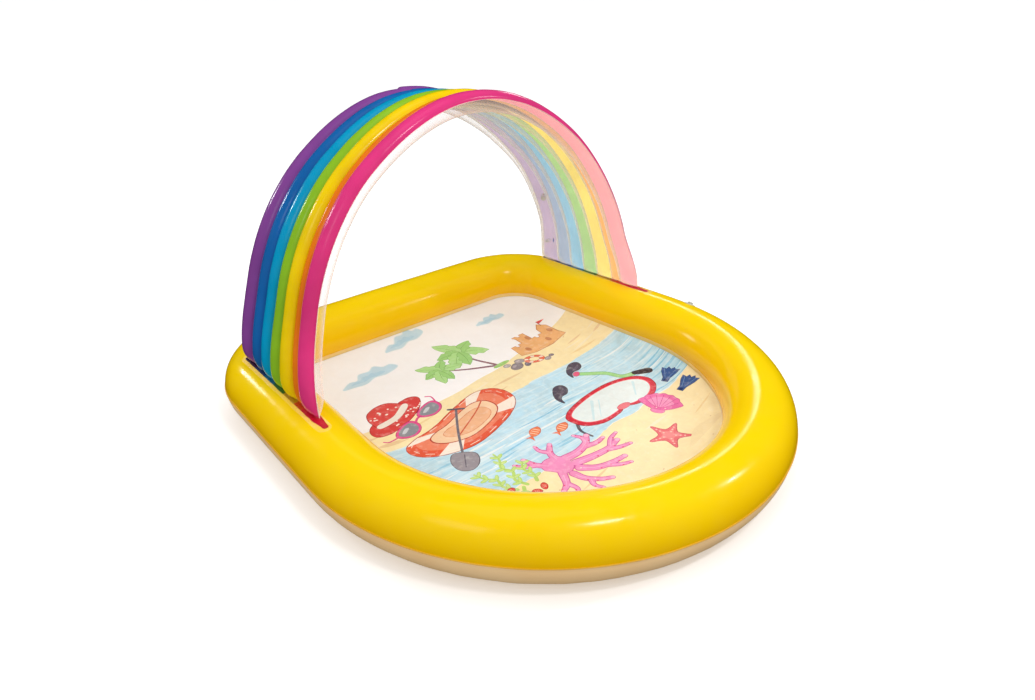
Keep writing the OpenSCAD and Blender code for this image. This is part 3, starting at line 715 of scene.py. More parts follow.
# scallop shell
sc = np.array([0.288, -0.256])
fan = [(0.0, -0.044)] + [(0.058 * math.sin(rad(a)) * (1 + 0.06 * (i % 2)), -0.020 + 0.062 * math.cos(rad(a)) * (1 + 0.06 * (i % 2)))
                         for i, a in enumerate(range(-84, 85, 12))]
o = blob(turn(fan, -64, sc), (240, 108, 172), (198, 60, 128), 0.0018, 0.8, 4)
blob(turn(np.array(fan) * 0.62, -64, sc), (248, 150, 196), None, 0, 0.7, 4)
for a in range(-66, 67, 22):
    stroke(turn([(0.006 * math.sin(rad(a)), -0.034), (0.052 * math.sin(rad(a)), -0.018 + 0.054 * math.cos(rad(a)))], -64, sc), 0.0020, (206, 70, 138), 0.4, (0.5, 1), smooth=False)
blob(turn([(-0.018, -0.042), (0.018, -0.042), (0.012, -0.056), (-0.012, -0.056)], -64, sc), (244, 130, 184), (198, 60, 128), 0.0012, 0.6, 4)

# swim fins
for x, y, a in ((0.408, -0.186, 22), (0.398, -0.256, 8)):
    shape = turn([(-0.034, -0.010), (-0.034, 0.010), (-0.012, 0.011), (0.022, 0.026), (0.042, 0.030), (0.036, 0.014), (0.046, 0.008), (0.036, -0.002), (0.044, -0.012), (0.034, -0.018),
                  (0.036, -0.032), (0.016, -0.024), (-0.012, -0.011)], a, (x, y), 0.88)
    ink(grow(shape, 0.0016), (30, 50, 100), 0.5)
    ink(shape, (62, 96, 158), 0.8)
    for v_ in (-0.5, 0.5):
        stroke(turn([(-0.010, 0.008 * v_), (0.032, 0.036 * v_)], a, (x, y)), 0.0018, (120, 152, 200), 0.4, smooth=False)
    blob(turn(oval(-0.024, 0, 0.007, 0.006, 0, 8), a, (x, y)), (38, 60, 112), None, 0, 0.5, 3)

# starfish
st = [(0.060 * (1 if i % 2 == 0 else 0.45) * math.cos(rad(36 * i + 20)), 0.060 * (1 if i % 2 == 0 else 0.45) * math.sin(rad(36 * i + 20))) for i in range(10)]
c0 = np.array([0.172, -0.372])
o = blob(turn(st, 0, c0), (238, 112, 120), (196, 62, 78), 0.0020, 0.8, 5)
blob(turn(np.array(st) * 0.60, 0, c0), (244, 142, 142), None, 0, 0.8, 5)
for i in range(5):
    for f in (0.3, 0.5, 0.7):
        blob(oval(*(c0 + 0.058 * f * np.array([math.cos(rad(72 * i + 20)), math.sin(rad(72 * i + 20))])), 0.0026, 0.0026, 0, 8), (255, 206, 190), None, 0, 0.3, 3)
blob(turn([(0.06, -0.02), (0.12, -0.03), (0.15, -0.05), (0.10, -0.055), (0.04, -0.06), (-0.02, -0.065), (0.0, -0.05)], 0, c0 + (0.006, -0.012)), (249, 229, 180), None, 0, 0.6)

# two small striped fish, side view
for x, y, a, k in ((-0.073, -0.119, 28, 1.0), (-0.004, -0.152, 22, 1.0)):
    body = turn([(-0.024, 0.0), (-0.012, 0.012), (0.006, 0.014), (0.022, 0.004), (0.024, 0.0), (0.018, -0.008), (0.002, -0.013), (-0.014, -0.010)], a, (x, y), k)
    ink(turn([(-0.020, 0.0), (-0.040, 0.014), (-0.034, 0.0), (-0.040, -0.014)], a, (x, y), k), (238, 120, 80), 0.7)
    blob(body, (242, 132, 88), (196, 78, 50), 0.0014, 0.8, 5)
    for u_ in (-0.010, 0.0, 0.010):
        stroke(turn([(u_, 0.010), (u_ + 0.001, -0.009)], a, (x, y), k), 0.0026, (254, 222, 192), 0.4, smooth=False)

# branching coral with pads
coral, coral_line, pad = (246, 150, 200), (210, 92, 160), (232, 84, 128)
arms = [([(-0.100, -0.256), (-0.056, -0.258), (-0.014, -0.246), (0.014, -0.222)], 0.022),
        ([(-0.030, -0.252), (0.008, -0.262), (0.040, -0.258)], 0.015),
        ([(-0.008, -0.244), (-0.002, -0.222), (-0.012, -0.200)], 0.013),
        ([(-0.092, -0.286), (-0.040, -0.296), (0.014, -0.300), (0.060, -0.290)], 0.021),
        ([(0.006, -0.300), (0.040, -0.316), (0.074, -0.324)], 0.014),
        ([(0.022, -0.300), (0.050, -0.276), (0.082, -0.266)], 0.012),
        ([(-0.100, -0.306), (-0.066, -0.334), (-0.024, -0.346), (0.020, -0.350)], 0.020),
        ([(-0.044, -0.342), (-0.016, -0.366), (0.012, -0.378)], 0.013),
        ([(-0.128, -0.312), (-0.120, -0.344), (-0.096, -0.372), (-0.070, -0.388)], 0.018),
        ([(-0.112, -0.354), (-0.124, -0.378), (-0.116, -0.400)], 0.012),
        ([(-0.146, -0.256), (-0.172, -0.226), (-0.182, -0.190)], 0.018),
        ([(-0.172, -0.228), (-0.198, -0.214), (-0.214, -0.192)], 0.012),
        ([(-0.118, -0.250), (-0.112, -0.216), (-0.086, -0.186)], 0.018),
        ([(-0.110, -0.212), (-0.124, -0.190), (-0.122, -0.168)], 0.012),
        ([(-0.146, -0.292), (-0.170, -0.330), (-0.196, -0.346)], 0.018),
        ([(-0.168, -0.330), (-0.164, -0.358), (-0.178, -0.376)], 0.012)]
trunk = [(-0.196, -0.212), (-0.160, -0.190), (-0.110, -0.196), (-0.078, -0.226), (-0.070, -0.268), (-0.088, -0.304), (-0.124, -0.322), (-0.158, -0.310), (-0.184, -0.270), (-0.204, -0.242)]
for p_, w_ in arms:
    stroke(p_, w_ + 0.005, coral_line, 0.5, (1.1, 0.62))
trunk = turn(np.array(trunk) - (-0.128, -0.276), 0, (-0.128, -0.276), 0.56)
blob(trunk, coral, coral_line, 0.0024, 0.8)
for p_, w_ in arms:
    stroke(p_, w_, coral, 0.8, (1.1, 0.55))
blob(trunk, coral, None, 0, 0.8)
for p_, w_ in arms:
    c_ = smooth_open(p_, 5)
    for i in range(6, len(c_), 3):
        d = c_[i] - c_[i - 1]
        d = np.array([d[1], -d[0]]) / np.linalg.norm(d)
        blob(oval(*(c_[i] + d * w_ * 0.30), 0.0030, 0.0022, 0, 8), pad, None, 0, 0.5, 3)
    stroke(c_[1:-2:3], 0.0022, (252, 194, 224), 0.4, (0.8, 0.4), smooth=False)
    blob(oval(*c_[-1], w_ * 0.34, w_ * 0.30, 0, 8), (252, 184, 216), None, 0, 0.5, 3)
# seaweed, with small red shells at its foot
for p_ in ([(-0.240, -0.268), (-0.250, -0.236), (-0.232, -0.206), (-0.244, -0.178), (-0.226, -0.150), (-0.222, -0.122)],
           [(-0.272, -0.268), (-0.290, -0.238), (-0.284, -0.208), (-0.304, -0.184), (-0.312, -0.156)],
           [(-0.212, -0.272), (-0.200, -0.244), (-0.206, -0.216), (-0.188, -0.192)],
           [(-0.254, -0.270), (-0.268, -0.296), (-0.250, -0.322)]):
    stroke(p_, 0.0095, (190, 222, 120), 0.8, (1.1, 0.6))
    c_ = smooth_open(p_, 4)
    for i in range(2, len(c_) - 1, 3):
        d = c_[i + 1] - c_[i - 1]
        a_ = math.degrees(math.atan2(d[1], d[0]))
        for sg in (-1, 1):
            blob(turn(oval(0.010, 0.0, 0.011, 0.0042, 0, 8), a_ + sg * 52, c_[i]), (204, 232, 140), (160, 204, 96), 0.0010, 0.7, 3)
for x, y, a in ((-0.287, -0.262, 20), (-0.242, -0.304, -30), (-0.214, -0.300, 60)):
    blob(turn([(-0.013, 0.0), (-0.006, 0.008), (0.006, 0.008), (0.013, 0.0), (0.005, -0.007), (-0.006, -0.006)], a, (x, y)), (222, 72, 62), (160, 36, 40), 0.0014, 0.6, 4)
    for u_ in (-0.005, 0.0, 0.005):
        stroke(turn([(u_, 0.006), (u_ * 0.6, -0.004)], a, (x, y)), 0.0012, (252, 196, 176), 0.3, smooth=False)
for _ in range(46):     # specks in the sand
    x = r2.uniform(-0.45, 0.45)
    y = front_edge_y(np.array(x)) - r2.uniform(0.02, 0.26)
    blob(oval(x, y, r2.uniform(0.0014, 0.003), r2.uniform(0.0012, 0.0024), 0, 7), ((226, 196, 150), (214, 178, 132), (255, 246, 220))[r2.integers(3)], None, 0, 0.3, 2)

RIM = -0.0858
rim_xy, _, _, _, _ = ring_plan(0.0085, RIM)
# the inner outline is shorter than the centre line: keep its points apart
keep = [0]
for i in range(1, len(rim_xy)):
    if np.linalg.norm(rim_xy[i] - rim_xy[keep[-1]]) > 0.0042:
        keep.append(i)
rim_xy = rim_xy[keep]


def plan_depth(p):
    """Distance in from the floor's edge."""
    x, y = np.abs(p[:, 0]), p[:, 1]
    c, s_ = math.cos(SIDE_A), math.sin(SIDE_A)
    side = (PATH_R + RIM) - (x * c + (y - FRONT_Y) * s_)
    back = CY + CORNER_R + RIM - y
    front = (PATH_R + RIM) - np.hypot(x, y - FRONT_Y)
    corner_d = (CORNER_R + RIM) - np.hypot(x - CX, y - CY)
    ang = np.arctan2(y - FRONT_Y, x)
    out = np.where(ang < SIDE_A, front, np.minimum(side, back))
    inside_corner = ((x - CX) * -s_ + (y - CY) * c > 0) & (x > CX)
    return np.where(inside_corner, np.minimum(out, corner_d), out)


def inside(poly, p):
    x, y = p[:, 0], p[:, 1]
    hit = np.zeros(len(p), bool)
    lo, hi = poly.min(0), poly.max(0)
    near = np.nonzero((x >= lo[0]) & (x <= hi[0]) & (y >= lo[1]) & (y <= hi[1]))[0]
    if not len(near):
        return hit
    px, py = x[near], y[near]
    r = np.zeros(len(near), bool)
    for (x1, y1), (x2, y2) in zip(poly, np.roll(poly, -1, 0)):
        if y1 != y2:
            r ^= ((y1 > py) != (y2 > py)) & (px < (x2 - x1) * (py - y1) / (y2 - y1) + x1)
    hit[near] = r
    return hit


vv, ee = [tuple(p) for p in rim_xy], [(i, (i + 1) % len(rim_xy)) for i in range(len(rim_xy))]
for o, _, _ in INKS[1:]:
    good = inside(rim_xy, np.asarray(o))
    k0 = len(vv)
    vv += [tuple(p) for p in o]
    n = len(o)
    for i in range(n):
        a_, b_ = i, (i + 1) % n
        if good[a_] or good[b_]:
            ee.append((k0 + a_, k0 + b_))
gx, gy = np.meshgrid(np.arange(-0.51, 0.515, 0.013), np.arange(-0.56, 0.56, 0.013), indexing="ij")
gp = np.stack([gx.ravel(), gy.ravel()], -1)
gp[:, 0] += 0.002 * np.sin(gp[:, 1] * 241)
gp = gp[inside(grow(rim_xy, -0.006), gp)]
used = np.zeros(len(vv), bool)
for a_, b_ in ee:
    used[a_] = used[b_] = True
remap = -np.ones(len(vv), int)
remap[used] = np.arange(used.sum())
vv = [v for v, u_ in zip(vv, used) if u_]
ee = [(int(remap[a_]), int(remap[b_])) for a_, b_ in ee]
vv += [tuple(p) for p in gp]
out = delaunay_2d_cdt([Vector(v) for v in vv], ee, [], 0, 1e-5)
fv = np.array([tuple(v) for v in out[0]])
ft = np.array([f for f in out[2] if len(f) == 3])
cen = fv[ft].mean(1)
ft = ft[inside(rim_xy, cen)]
area = np.cross(fv[ft[:, 1]] - fv[ft[:, 0]], fv[ft[:, 2]] - fv[ft[:, 0]])
ft = np.where((area < 0)[:, None], ft[:, ::-1], ft)
ft = ft[np.abs(area) > 1e-12]
cen = fv[ft].mean(1)
colour = np.zeros((len(ft), 3))
wash = np.zeros(len(ft))
for o, rgb, w_ in INKS:
    hit = inside(np.asarray(o, float), cen)
    colour[hit] = lin(rgb)[:3]
    wash[hit] = w_
ids, inv = np.unique(ft, return_inverse=True)
ft = inv.reshape(ft.shape)
fv = fv[ids]
depth = np.maximum(plan_depth(fv), 0)
p3 = np.stack([fv[:, 0], fv[:, 1], np.zeros(len(fv))], -1)
ang = np.arctan2(fv[:, 1] - 0.05, fv[:, 0])
rays = noise(np.stack([np.cos(ang) * 9, np.sin(ang) * 9, depth * 3], -1)) + 0.5 * noise(np.stack([np.cos(ang) * 20, np.sin(ang) * 20, depth * 5 + 4], -1))
fz = 0.0136 + 0.0385 * np.exp(-depth / 0.062) + 0.0022 * noise(p3, 4.2, 0.3) * step(depth, 0, 0.1) \
    + 0.0011 * noise(p3, 11, 2.3) * step(depth, 0, 0.06) + 0.0030 * rays * step(depth, 0.002, 0.03) * np.exp(-depth / 0.05)
top = np.column_stack([fv, fz])
bot = np.column_stack([fv, fz - 0.0012])
nv = len(fv)
edges = {}
for t_ in ft:
    for a_, b_ in ((t_[0], t_[1]), (t_[1], t_[2]), (t_[2], t_[0])):
        edges[(a_, b_)] = 1
border = [(a_, b_) for a_, b_ in edges if (b_, a_) not in edges]
side_t = []
for a_, b_ in border:
    side_t += [(b_, a_, a_ + nv), (b_, a_ + nv, b_ + nv)]
tris = np.concatenate([ft, ft[:, ::-1] + nv, np.array(side_t)])
me = bpy.data.meshes.new("floor_print")
me.from_pydata(np.concatenate([top, bot]).tolist(), [], tris.tolist())
under = np.tile(lin((240, 236, 228))[:3], (len(ft) + len(side_t), 1))
face_rgb = np.concatenate([colour, under])
face_wash = np.concatenate([wash, np.full(len(under), 0.1)])
att = me.color_attributes.new("ink", "FLOAT_COLOR", "CORNER")
att.data.foreach_set("color", np.repeat(np.column_stack([face_rgb, np.ones(len(face_rgb))]), 3, axis=0).astype(np.float32).ravel())
att = me.attributes.new("wash", "FLOAT", "CORNER")
att.data.foreach_set("value", np.repeat(face_wash, 3).astype(np.float32))
me.polygons.foreach_set("use_smooth", np.ones(len(me.polygons), bool))
me.set_sharp_from_angle(angle=rad(50))

n = Nodes("floor_print")
ink_n = n.new("ShaderNodeAttribute", attribute_name="ink")
wash_n = n.new("ShaderNodeAttribute", attribute_name="wash")
pool_n = n.span(n.noise(26, 5.0, 0.65, distortion=0.6), 0.0, 1.0, 0.34, 0.66)
amount = n.new("ShaderNodeMath", operation="MULTIPLY")
n.link(pool_n, amount.inputs[0])
n.link(wash_n.outputs["Fac"], amount.inputs[1])
darker = n.mix(1.0, ink_n.outputs["Color"], lin((241, 237, 234)), "MULTIPLY")
c1 = n.mix(amount.outputs[0], ink_n.outputs["Color"], darker)
light = n.span(n.noise(60, 4.0, 0.6), 0.0, 0.55, 0.52, 0.72)
lf = n.new("ShaderNodeMath", operation="MULTIPLY")
n.link(light, lf.inputs[0])
n.link(wash_n.outputs["Fac"], lf.inputs[1])
c2 = n.mix(lf.outputs[0], c1, n.mix(0.5, ink_n.outputs["Color"], lin((255, 252, 246))))
sea = n.span(wash_n.outputs["Fac"], 0.0, 1.0, 0.88, 0.96)
streak = n.span(n.noise(1.0, 4.0, 0.6, stretch=(5, 70, 1)), 0.0, 0.75, 0.48, 0.66)
sf = n.new("ShaderNodeMath", operation="MULTIPLY")
n.link(sea, sf.inputs[0])
n.link(streak, sf.inputs[1])
c3 = n.mix(sf.outputs[0], c2, lin((232, 245, 249)))
streak2 = n.span(n.noise(1.3, 4.0, 0.6, stretch=(4, 46, 1), distortion=0.3), 0.0, 0.35, 0.54, 0.68)
sf2 = n.new("ShaderNodeMath", operation="MULTIPLY")
n.link(sea, sf2.inputs[0])
n.link(streak2, sf2.inputs[1])
c4 = n.mix(sf2.outputs[0], c3, lin((158, 208, 230)))
n.link(c4, n.bsdf.inputs["Base Color"])
n.link(n.span(n.noise(30, 3.0), 0.30, 0.42), n.bsdf.inputs["Roughness"])
n.bsdf.inputs["Specular IOR Level"].default_value = 0.22
n.bump([(n.noise(1400, 2.0), 0.05, 0.0002), (n.noise(26, 2.0), 0.12, 0.0018)])
me.materials.append(n.mat)
floor = bpy.data.objects.new("floor_print", me)
scene.collection.objects.link(floor)
settle(floor, "pool", "floor_print", "floor_sheet")

# ------------------------------------------------------------------ the arch
ARCH_Y, FOOT_Z, LEAN = 0.291, 0.160, rad(5.6)
HALF_W, OFF, LEG, ARC_A = 0.558, 0.073, 0.040, rad(44)
SIDE_R = HALF_W + OFF
CROWN_R = SIDE_R - OFF / math.cos(ARC_A)
CROWN_Z = LEG + OFF * math.tan(ARC_A)
L1 = LEG + SIDE_R * ARC_A
HALF_L = L1 + CROWN_R * (math.pi / 2 - ARC_A)
END_W, BAND_W = 0.060, 0.050
END_R, MID_R = 0.0285, 0.0235
FRONT_E, REAR_E = 0.106, 0.476
EDGES = [0.106, 0.165, 0.198, 0.252, 0.304, 0.357, 0.411, 0.476]    # the orange channel is the narrow one
BY = [(a + b) / 2 for a, b in zip(EDGES, EDGES[1:])]
BR = [(b - a) / 2 - 0.0015 for a, b in zip(EDGES, EDGES[1:])]
RING_TOP = TUBE_Z + TUBE_R


def foot_start(y0):
    """Height along the leg at which it meets the ring."""
    return (RING_TOP + 0.0030 - FOOT_Z + (y0 - ARCH_Y) * math.sin(LEAN)) / math.cos(LEAN)


def arch_place(l, y0, u, side):
    """l along the half path from the foot, u outwards; side is 1 for the right leg and -1 for the left."""
    a = np.clip((l - LEG) / SIDE_R, 0, ARC_A)
    b = ARC_A + np.clip((l - L1) / CROWN_R, 0, 9)
    straight, arc = l < LEG, l < L1
    nx = np.where(straight, 1.0, np.where(arc, np.cos(a), np.cos(b)))
    nz = np.where(straight, 0.0, np.where(arc, np.sin(a), np.sin(b)))
    x = np.where(straight, HALF_W, np.where(arc, -OFF + SIDE_R * np.cos(a), CROWN_R * np.cos(b)))
    z = np.where(straight, l, np.where(arc, LEG + SIDE_R * np.sin(a), CROWN_Z + CROWN_R * np.sin(b)))
    x, z = (x + nx * u) * side, z + nz * u
    return np.stack([x, ARCH_Y + (y0 - ARCH_Y) * math.cos(LEAN) + z * math.sin(LEAN),
                     FOOT_Z + z * math.cos(LEAN) - (y0 - ARCH_Y) * math.sin(LEAN)], -1)


near_foot = np.array([0, 0.0012, 0.003, 0.0055, 0.0085, 0.012, 0.016, 0.0205, 0.0255, 0.031, 0.037, 0.0435, 0.050, 0.057])
LONGEST = HALF_L - foot_start(FRONT_E)
rest_of = np.linspace(0.0635, LONGEST, 140)
H = np.concatenate([near_foot, rest_of])
hh = np.concatenate([H, H[::-1][1:]])                       # right foot, crown, left foot
side = np.concatenate([np.ones(len(H)), -np.ones(len(H) - 1)])
seq = np.concatenate([H, 2 * LONGEST - H[::-1][1:]])        # length along the whole arch


def pinch(h, over=0.046):
    t = 1 - np.minimum(h / over, 1)
    return np.sqrt(np.maximum(1 - t * t, 0))


def flare(y0, h, rear=0.05):
    """The channels spread as they flatten towards the foot."""
    k = 1 - np.minimum(h / 0.18, 1)
    k = k * k * (3 - 2 * k)
    f = np.where(y0 < ARCH_Y, 0.14, rear)
    return y0 + (y0 - ARCH_Y) * f * k


def waist(y0, h, sd):
    """The left leg draws in a little at its front edge, between foot and shoulder."""
    return np.where((sd < 0) & (y0 < ARCH_Y), (ARCH_Y - y0) * 0.075 * step(h, 0.06, 0.24) * (1 - step(h, 0.52, 0.86)), 0.0)


def foot_out(y):
    """How far outside its straight line the foot lies: it follows the ring."""
    return 0.018 * np.clip((0.50 - y) / 0.46, 0, 1)


def drawn_in(h, sd, y0):
    """The film pulls the shoulders in a little."""
    fade = 1 - step(h, 0.60, 0.92)
    rear = step(y0, 0.35, 0.42)
    right = step(h, 0.06, 0.46) * (1 - rear) + step(h, 0.34, 0.56) * rear
    return np.where(sd < 0, 0.015 * step(h, 0.02, 0.24), 0.010 * right) * fade


def arch_grid(y0, u, near=None):
    """y0 (m,) and u (n, m) or (m,) in the arch's own section give a grid over the whole arch."""
    y0 = np.asarray(y0, float)
    h, sd = hh[:, None], side[:, None]
    u = np.broadcast_to(u, (len(hh), len(y0))) - drawn_in(h, sd, y0[None])
    y = flare(y0[None], h, np.where(sd < 0, 0.04, 0.10)) + waist(y0[None], h, sd)
    l0 = foot_start(y0)[None]
    l = l0 + h * (HALF_L - l0) / LONGEST
    g = arch_place(l, y, u, sd)
    k = 1 - np.minimum(h / 0.20, 1)
    out = foot_out(g[..., 1]) * k * k * (3 - 2 * k)
    rho = HALF_W - (PATH_R - (g[..., 1] - FRONT_Y) * math.sin(SIDE_A)) / math.cos(SIDE_A)
    g[..., 0] += sd * out
    g[..., 2] += (rho ** 2 - (rho + out) ** 2) / (2 * TUBE_R)
    return g


def ripple(seed, waves):
    return noise1(seq, waves, seed)[:, None]


phi = np.linspace(0, math.pi, 17)


def channel(k, out, inset=0.0):
    """Half of band k's section: y0 and the height of the bulge."""
    r = BR[k]
    y = BY[k] - (r - inset * 0.4) * np.cos(phi)
    hgt = np.sin(phi)
    return y, hgt


for k, b in enumerate(BANDS):
    r = BR[k]
    y, hgt = channel(k, 1)
    half_weld = 0.0015
    y = np.concatenate([[y[0] - half_weld], y, [y[-1] + half_weld]])
    hgt = np.concatenate([[0], hgt, [0]])
    edge = np.concatenate([[0], 1 - np.sin(phi) ** 0.6, [0]])   # puckers live beside the welds
    foot_fold = np.exp(-hh / 0.016)[:, None] * noise(np.stack(np.broadcast_arrays(y[None] * 130, hh[:, None] * 0 + k * 3.3, side[:, None] * 7.7), -1)) * 0.0034
    full = np.where(side < 0, (0.76, 0.88, 0.90, 0.90, 0.88, 0.86, 0.80)[k], (0.76, 0.88, 0.90, 0.90, 0.90, 0.92, 0.94)[k])
    bulge = (r * full * pinch(hh))[:, None]
    u = hgt[None] * (bulge + 0.0009 * ripple(20 + k, 7) + 0.0005 * ripple(40 + k, 22)) \
        + edge[None] * 0.0006 * (ripple(60 + k, 52) + 0.5 * ripple(90 + k, 96)) * step(hh, 0.0, 0.03)[:, None] \
        + foot_fold * hgt[None] ** 0.5
    u = u + 0.0006
    P = arch_grid(y, u)
    N = normals(P)
    outward = np.sign((N * (P - np.array([0, 0.3, 0.3]))).sum())
    N = N * outward
    verts, quads, kind = shell(P, P - N * 0.0007)
    ob = build("arch_" + b, verts, quads, [M[b], M[b + "_pale"]], (kind == 1).astype(int), 60)
    settle(ob, "pool", b + "_vinyl", "band_" + b)

# clear inner skin: one sheet over the seven channels
ys, hs, es, rs = [], [], [], []
inward = (1.14, 0.98, 0.96, 0.96, 0.96, 0.98, 1.02)
for k in range(7):
    y, hgt = channel(k, -1)
    ys.append(y); hs.append(hgt); es.append(1 - np.sin(phi) ** 0.6); rs.append(np.full(len(y), BR[k] * inward[k]))
ys, hs, es, rs = map(np.concatenate, (ys, hs, es, rs))
u = -(hs * rs)[None] * pinch(hh)[:, None] - 0.0006 \
    - hs[None] * (0.0008 * noise(np.stack(np.broadcast_arrays(seq[:, None] * 12, ys[None] * 20, np.array(0.37)), -1))) \
    - es[None] * 0.0006 * (noise(np.stack(np.broadcast_arrays(seq[:, None] * 75, np.round(ys[None] * 20) * 1.7, np.array(5.1)), -1)) + 0.2) * step(hh, 0, 0.03)[:, None]
P = arch_grid(ys, u)
N = normals(P)
N = N * np.sign((N * (P - np.array([0, 0.3, 0.3]))).sum())
verts, quads, kind = shell(P, P + N * 0.0006)
inner = settle(build("arch_inner", verts, quads, [M["clear"]], smooth=60), "pool", "clear_vinyl", "arch_inner_skin")


def strip(name, y0, y1, mat, slot_name, node, cols=5, thick=0.0011, wavy=0.0):
    y = np.linspace(y0, y1, cols)
    w = np.linspace(0, 1, cols)[None] if wavy >= 0 else np.linspace(1, 0, cols)[None]
    u = abs(wavy) * (noise1(seq, 42, len(name))[:, None] + 0.5 * noise1(seq, 90, len(name) + 3)[:, None]) * w
    emboss = 0.00012 * np.sin(seq * 2 * math.pi / 0.004)[:, None]
    verts, quads, kind = shell(arch_grid(y, u + thick / 2 + emboss), arch_grid(y, u - thick / 2 - emboss))
    return settle(build(name, verts, quads, [mat], smooth=60), "pool", slot_name, *node)


edges_y = [BY[k] + BR[k] for k in range(7)]
parts = []
for k in range(7):
    y = np.array([edges_y[k] - 0.0002, edges_y[k] + 0.0015, edges_y[k] + 0.0032])
    parts.append(shell(arch_grid(y, 0.0004), arch_grid(y, -0.0006)))
off, vs, qs = 0, [], []
for v_, q_, _ in parts:
    vs.append(v_); qs.append(q_ + off); off += len(v_)
ribs = settle(build("arch_welds", np.concatenate(vs), np.concatenate(qs), [M["clear_rib"]]), "pool", "clear_vinyl", "arch_weld_ribs")
strip("arch_front_edge", 0.1024, 0.1068, M["clear_flat"], "clear_vinyl", ["edge_strip_front"], wavy=-0.0005)
SPRAY_Y = REAR_E + 0.0015 + 0.004
strip("arch_rear_edge", SPRAY_Y + 0.0038, SPRAY_Y + 0.0066, M["clear_flat"], "clear_vinyl", ["edge_strip_rear"], wavy=0.0012)

# spray channel: a slim tube welded in along the rear edge
pc = np.linspace(0, 2 * math.pi, 15)[:-1]
flat = pinch(hh, 0.02)[:, None] * 0.75 + 0.25
sw = 1 + 0.06 * noise1(seq, 55, 3)[:, None]
y = SPRAY_Y - 0.004 * np.cos(pc)
uu = 0.0040 * np.sin(pc)[None] * sw * flat
P = arch_grid(y, uu)
n_, m_ = P.shape[:2]
Q = arch_grid(SPRAY_Y - 0.0033 * np.cos(pc), 0.0033 * np.sin(pc)[None] * sw * flat)
off = n_ * m_
I, J = np.meshgrid(np.arange(n_ - 1), np.arange(m_), indexing="ij")
K = (J + 1) % m_
o1 = np.stack([I * m_ + J, (I + 1) * m_ + J, (I + 1) * m_ + K, I * m_ + K], -1).reshape(-1, 4)
o2 = o1[:, ::-1] + off
j = np.arange(m_)
k = (j + 1) % m_
e = (n_ - 1) * m_
caps = np.concatenate([np.stack([j, k, off + k, off + j], -1), np.stack([e + j, off + e + j, off + e + k, e + k], -1)])
tube = settle(build("spray_tube", np.concatenate([P.reshape(-1, 3), Q.reshape(-1, 3)]), np.concatenate([o1, o2, caps]), [M["clear_flat"]], smooth=60),
              "pool", "clear_vinyl", "spray_channel")


# nozzles on the inner side of the spray tube, about the crown
vs, qs, off = [], [], 0
cap_r, hole_r = 0.0022, 0.0006
rings = ((hole_r, -0.0030), (0.0016, -0.0032), (0.0019, -0.0056), (0.0016, -0.0061), (hole_r, -0.0061))
seg = np.arange(20) * 2 * math.pi / 20
for a_ in range(-40, 41, 10):
    l_ = HALF_L - CROWN_R * rad(abs(a_))
    sd_ = 1.0 if a_ >= 0 else -1.0
    shift = float(drawn_in(np.array((l_ - foot_start(SPRAY_Y)) * LONGEST / (HALF_L - foot_start(SPRAY_Y))), np.array(sd_), SPRAY_Y))
    c_ = arch_place(np.array(l_), np.array(SPRAY_Y), np.array(-shift), sd_)
    o_ = arch_place(np.array(l_), np.array(SPRAY_Y), np.array(0.01 - shift), sd_) - c_
    o_ /= np.linalg.norm(o_)
    w_ = arch_place(np.array(l_), np.array(SPRAY_Y + 0.01), np.array(-shift), sd_) - c_
    w_ /= np.linalg.norm(w_)
    t_ = np.cross(o_, w_)
    v_ = np.array([c_ + (np.cos(q) * w_ + np.sin(q) * t_) * r_ + o_ * z_ for q in seg for r_, z_ in rings])
    m_ = len(rings)
    f_ = np.array([(i_ * m_ + j_, ((i_ + 1) % 20) * m_ + j_, ((i_ + 1) % 20) * m_ + (j_ + 1) % m_, i_ * m_ + (j_ + 1) % m_) for i_ in range(20) for j_ in range(m_)])
    f_ = f_ if volume(v_, f_) > 0 else f_[:, ::-1]
    vs.append(v_); qs.append(f_ + off); off += len(v_)
settle(build("spray_nozzle_row", np.concatenate(vs), np.concatenate(qs), [M["fitting"]], smooth=35), "pool", "fitting_plastic", "spray_nozzles")

# ------------------------------------------------------------------ the feet on the ring
def on_ring(sgn, y, across, lift):
    """A point on the top of the ring's side: y along, across outwards from the foot's line, lift off the skin."""
    c, s_ = math.cos(SIDE_A), math.sin(SIDE_A)
    path_x = (PATH_R - (y - FRONT_Y) * s_) / c
    rear = y > CY + CORNER_R * s_
    path_x = np.where(rear, CX + np.sqrt(np.maximum(CORNER_R ** 2 - np.square(y - CY), 1e-4)), path_x)
    rho = (HALF_W + across - path_x) * c
    a = math.pi / 2 - rho / TUBE_R
    r = TUBE_R + lift
    x = path_x + (r * np.cos(a)) * c
    return np.stack([x * sgn, y + np.zeros_like(x), TUBE_Z + r * np.sin(a)], -1)


def band_at(y):
    e = [float(flare(np.array(q), 0.0)) for q in [FRONT_E - 0.5] + EDGES[1:7]]
    return int(np.searchsorted(e, y) - 1)


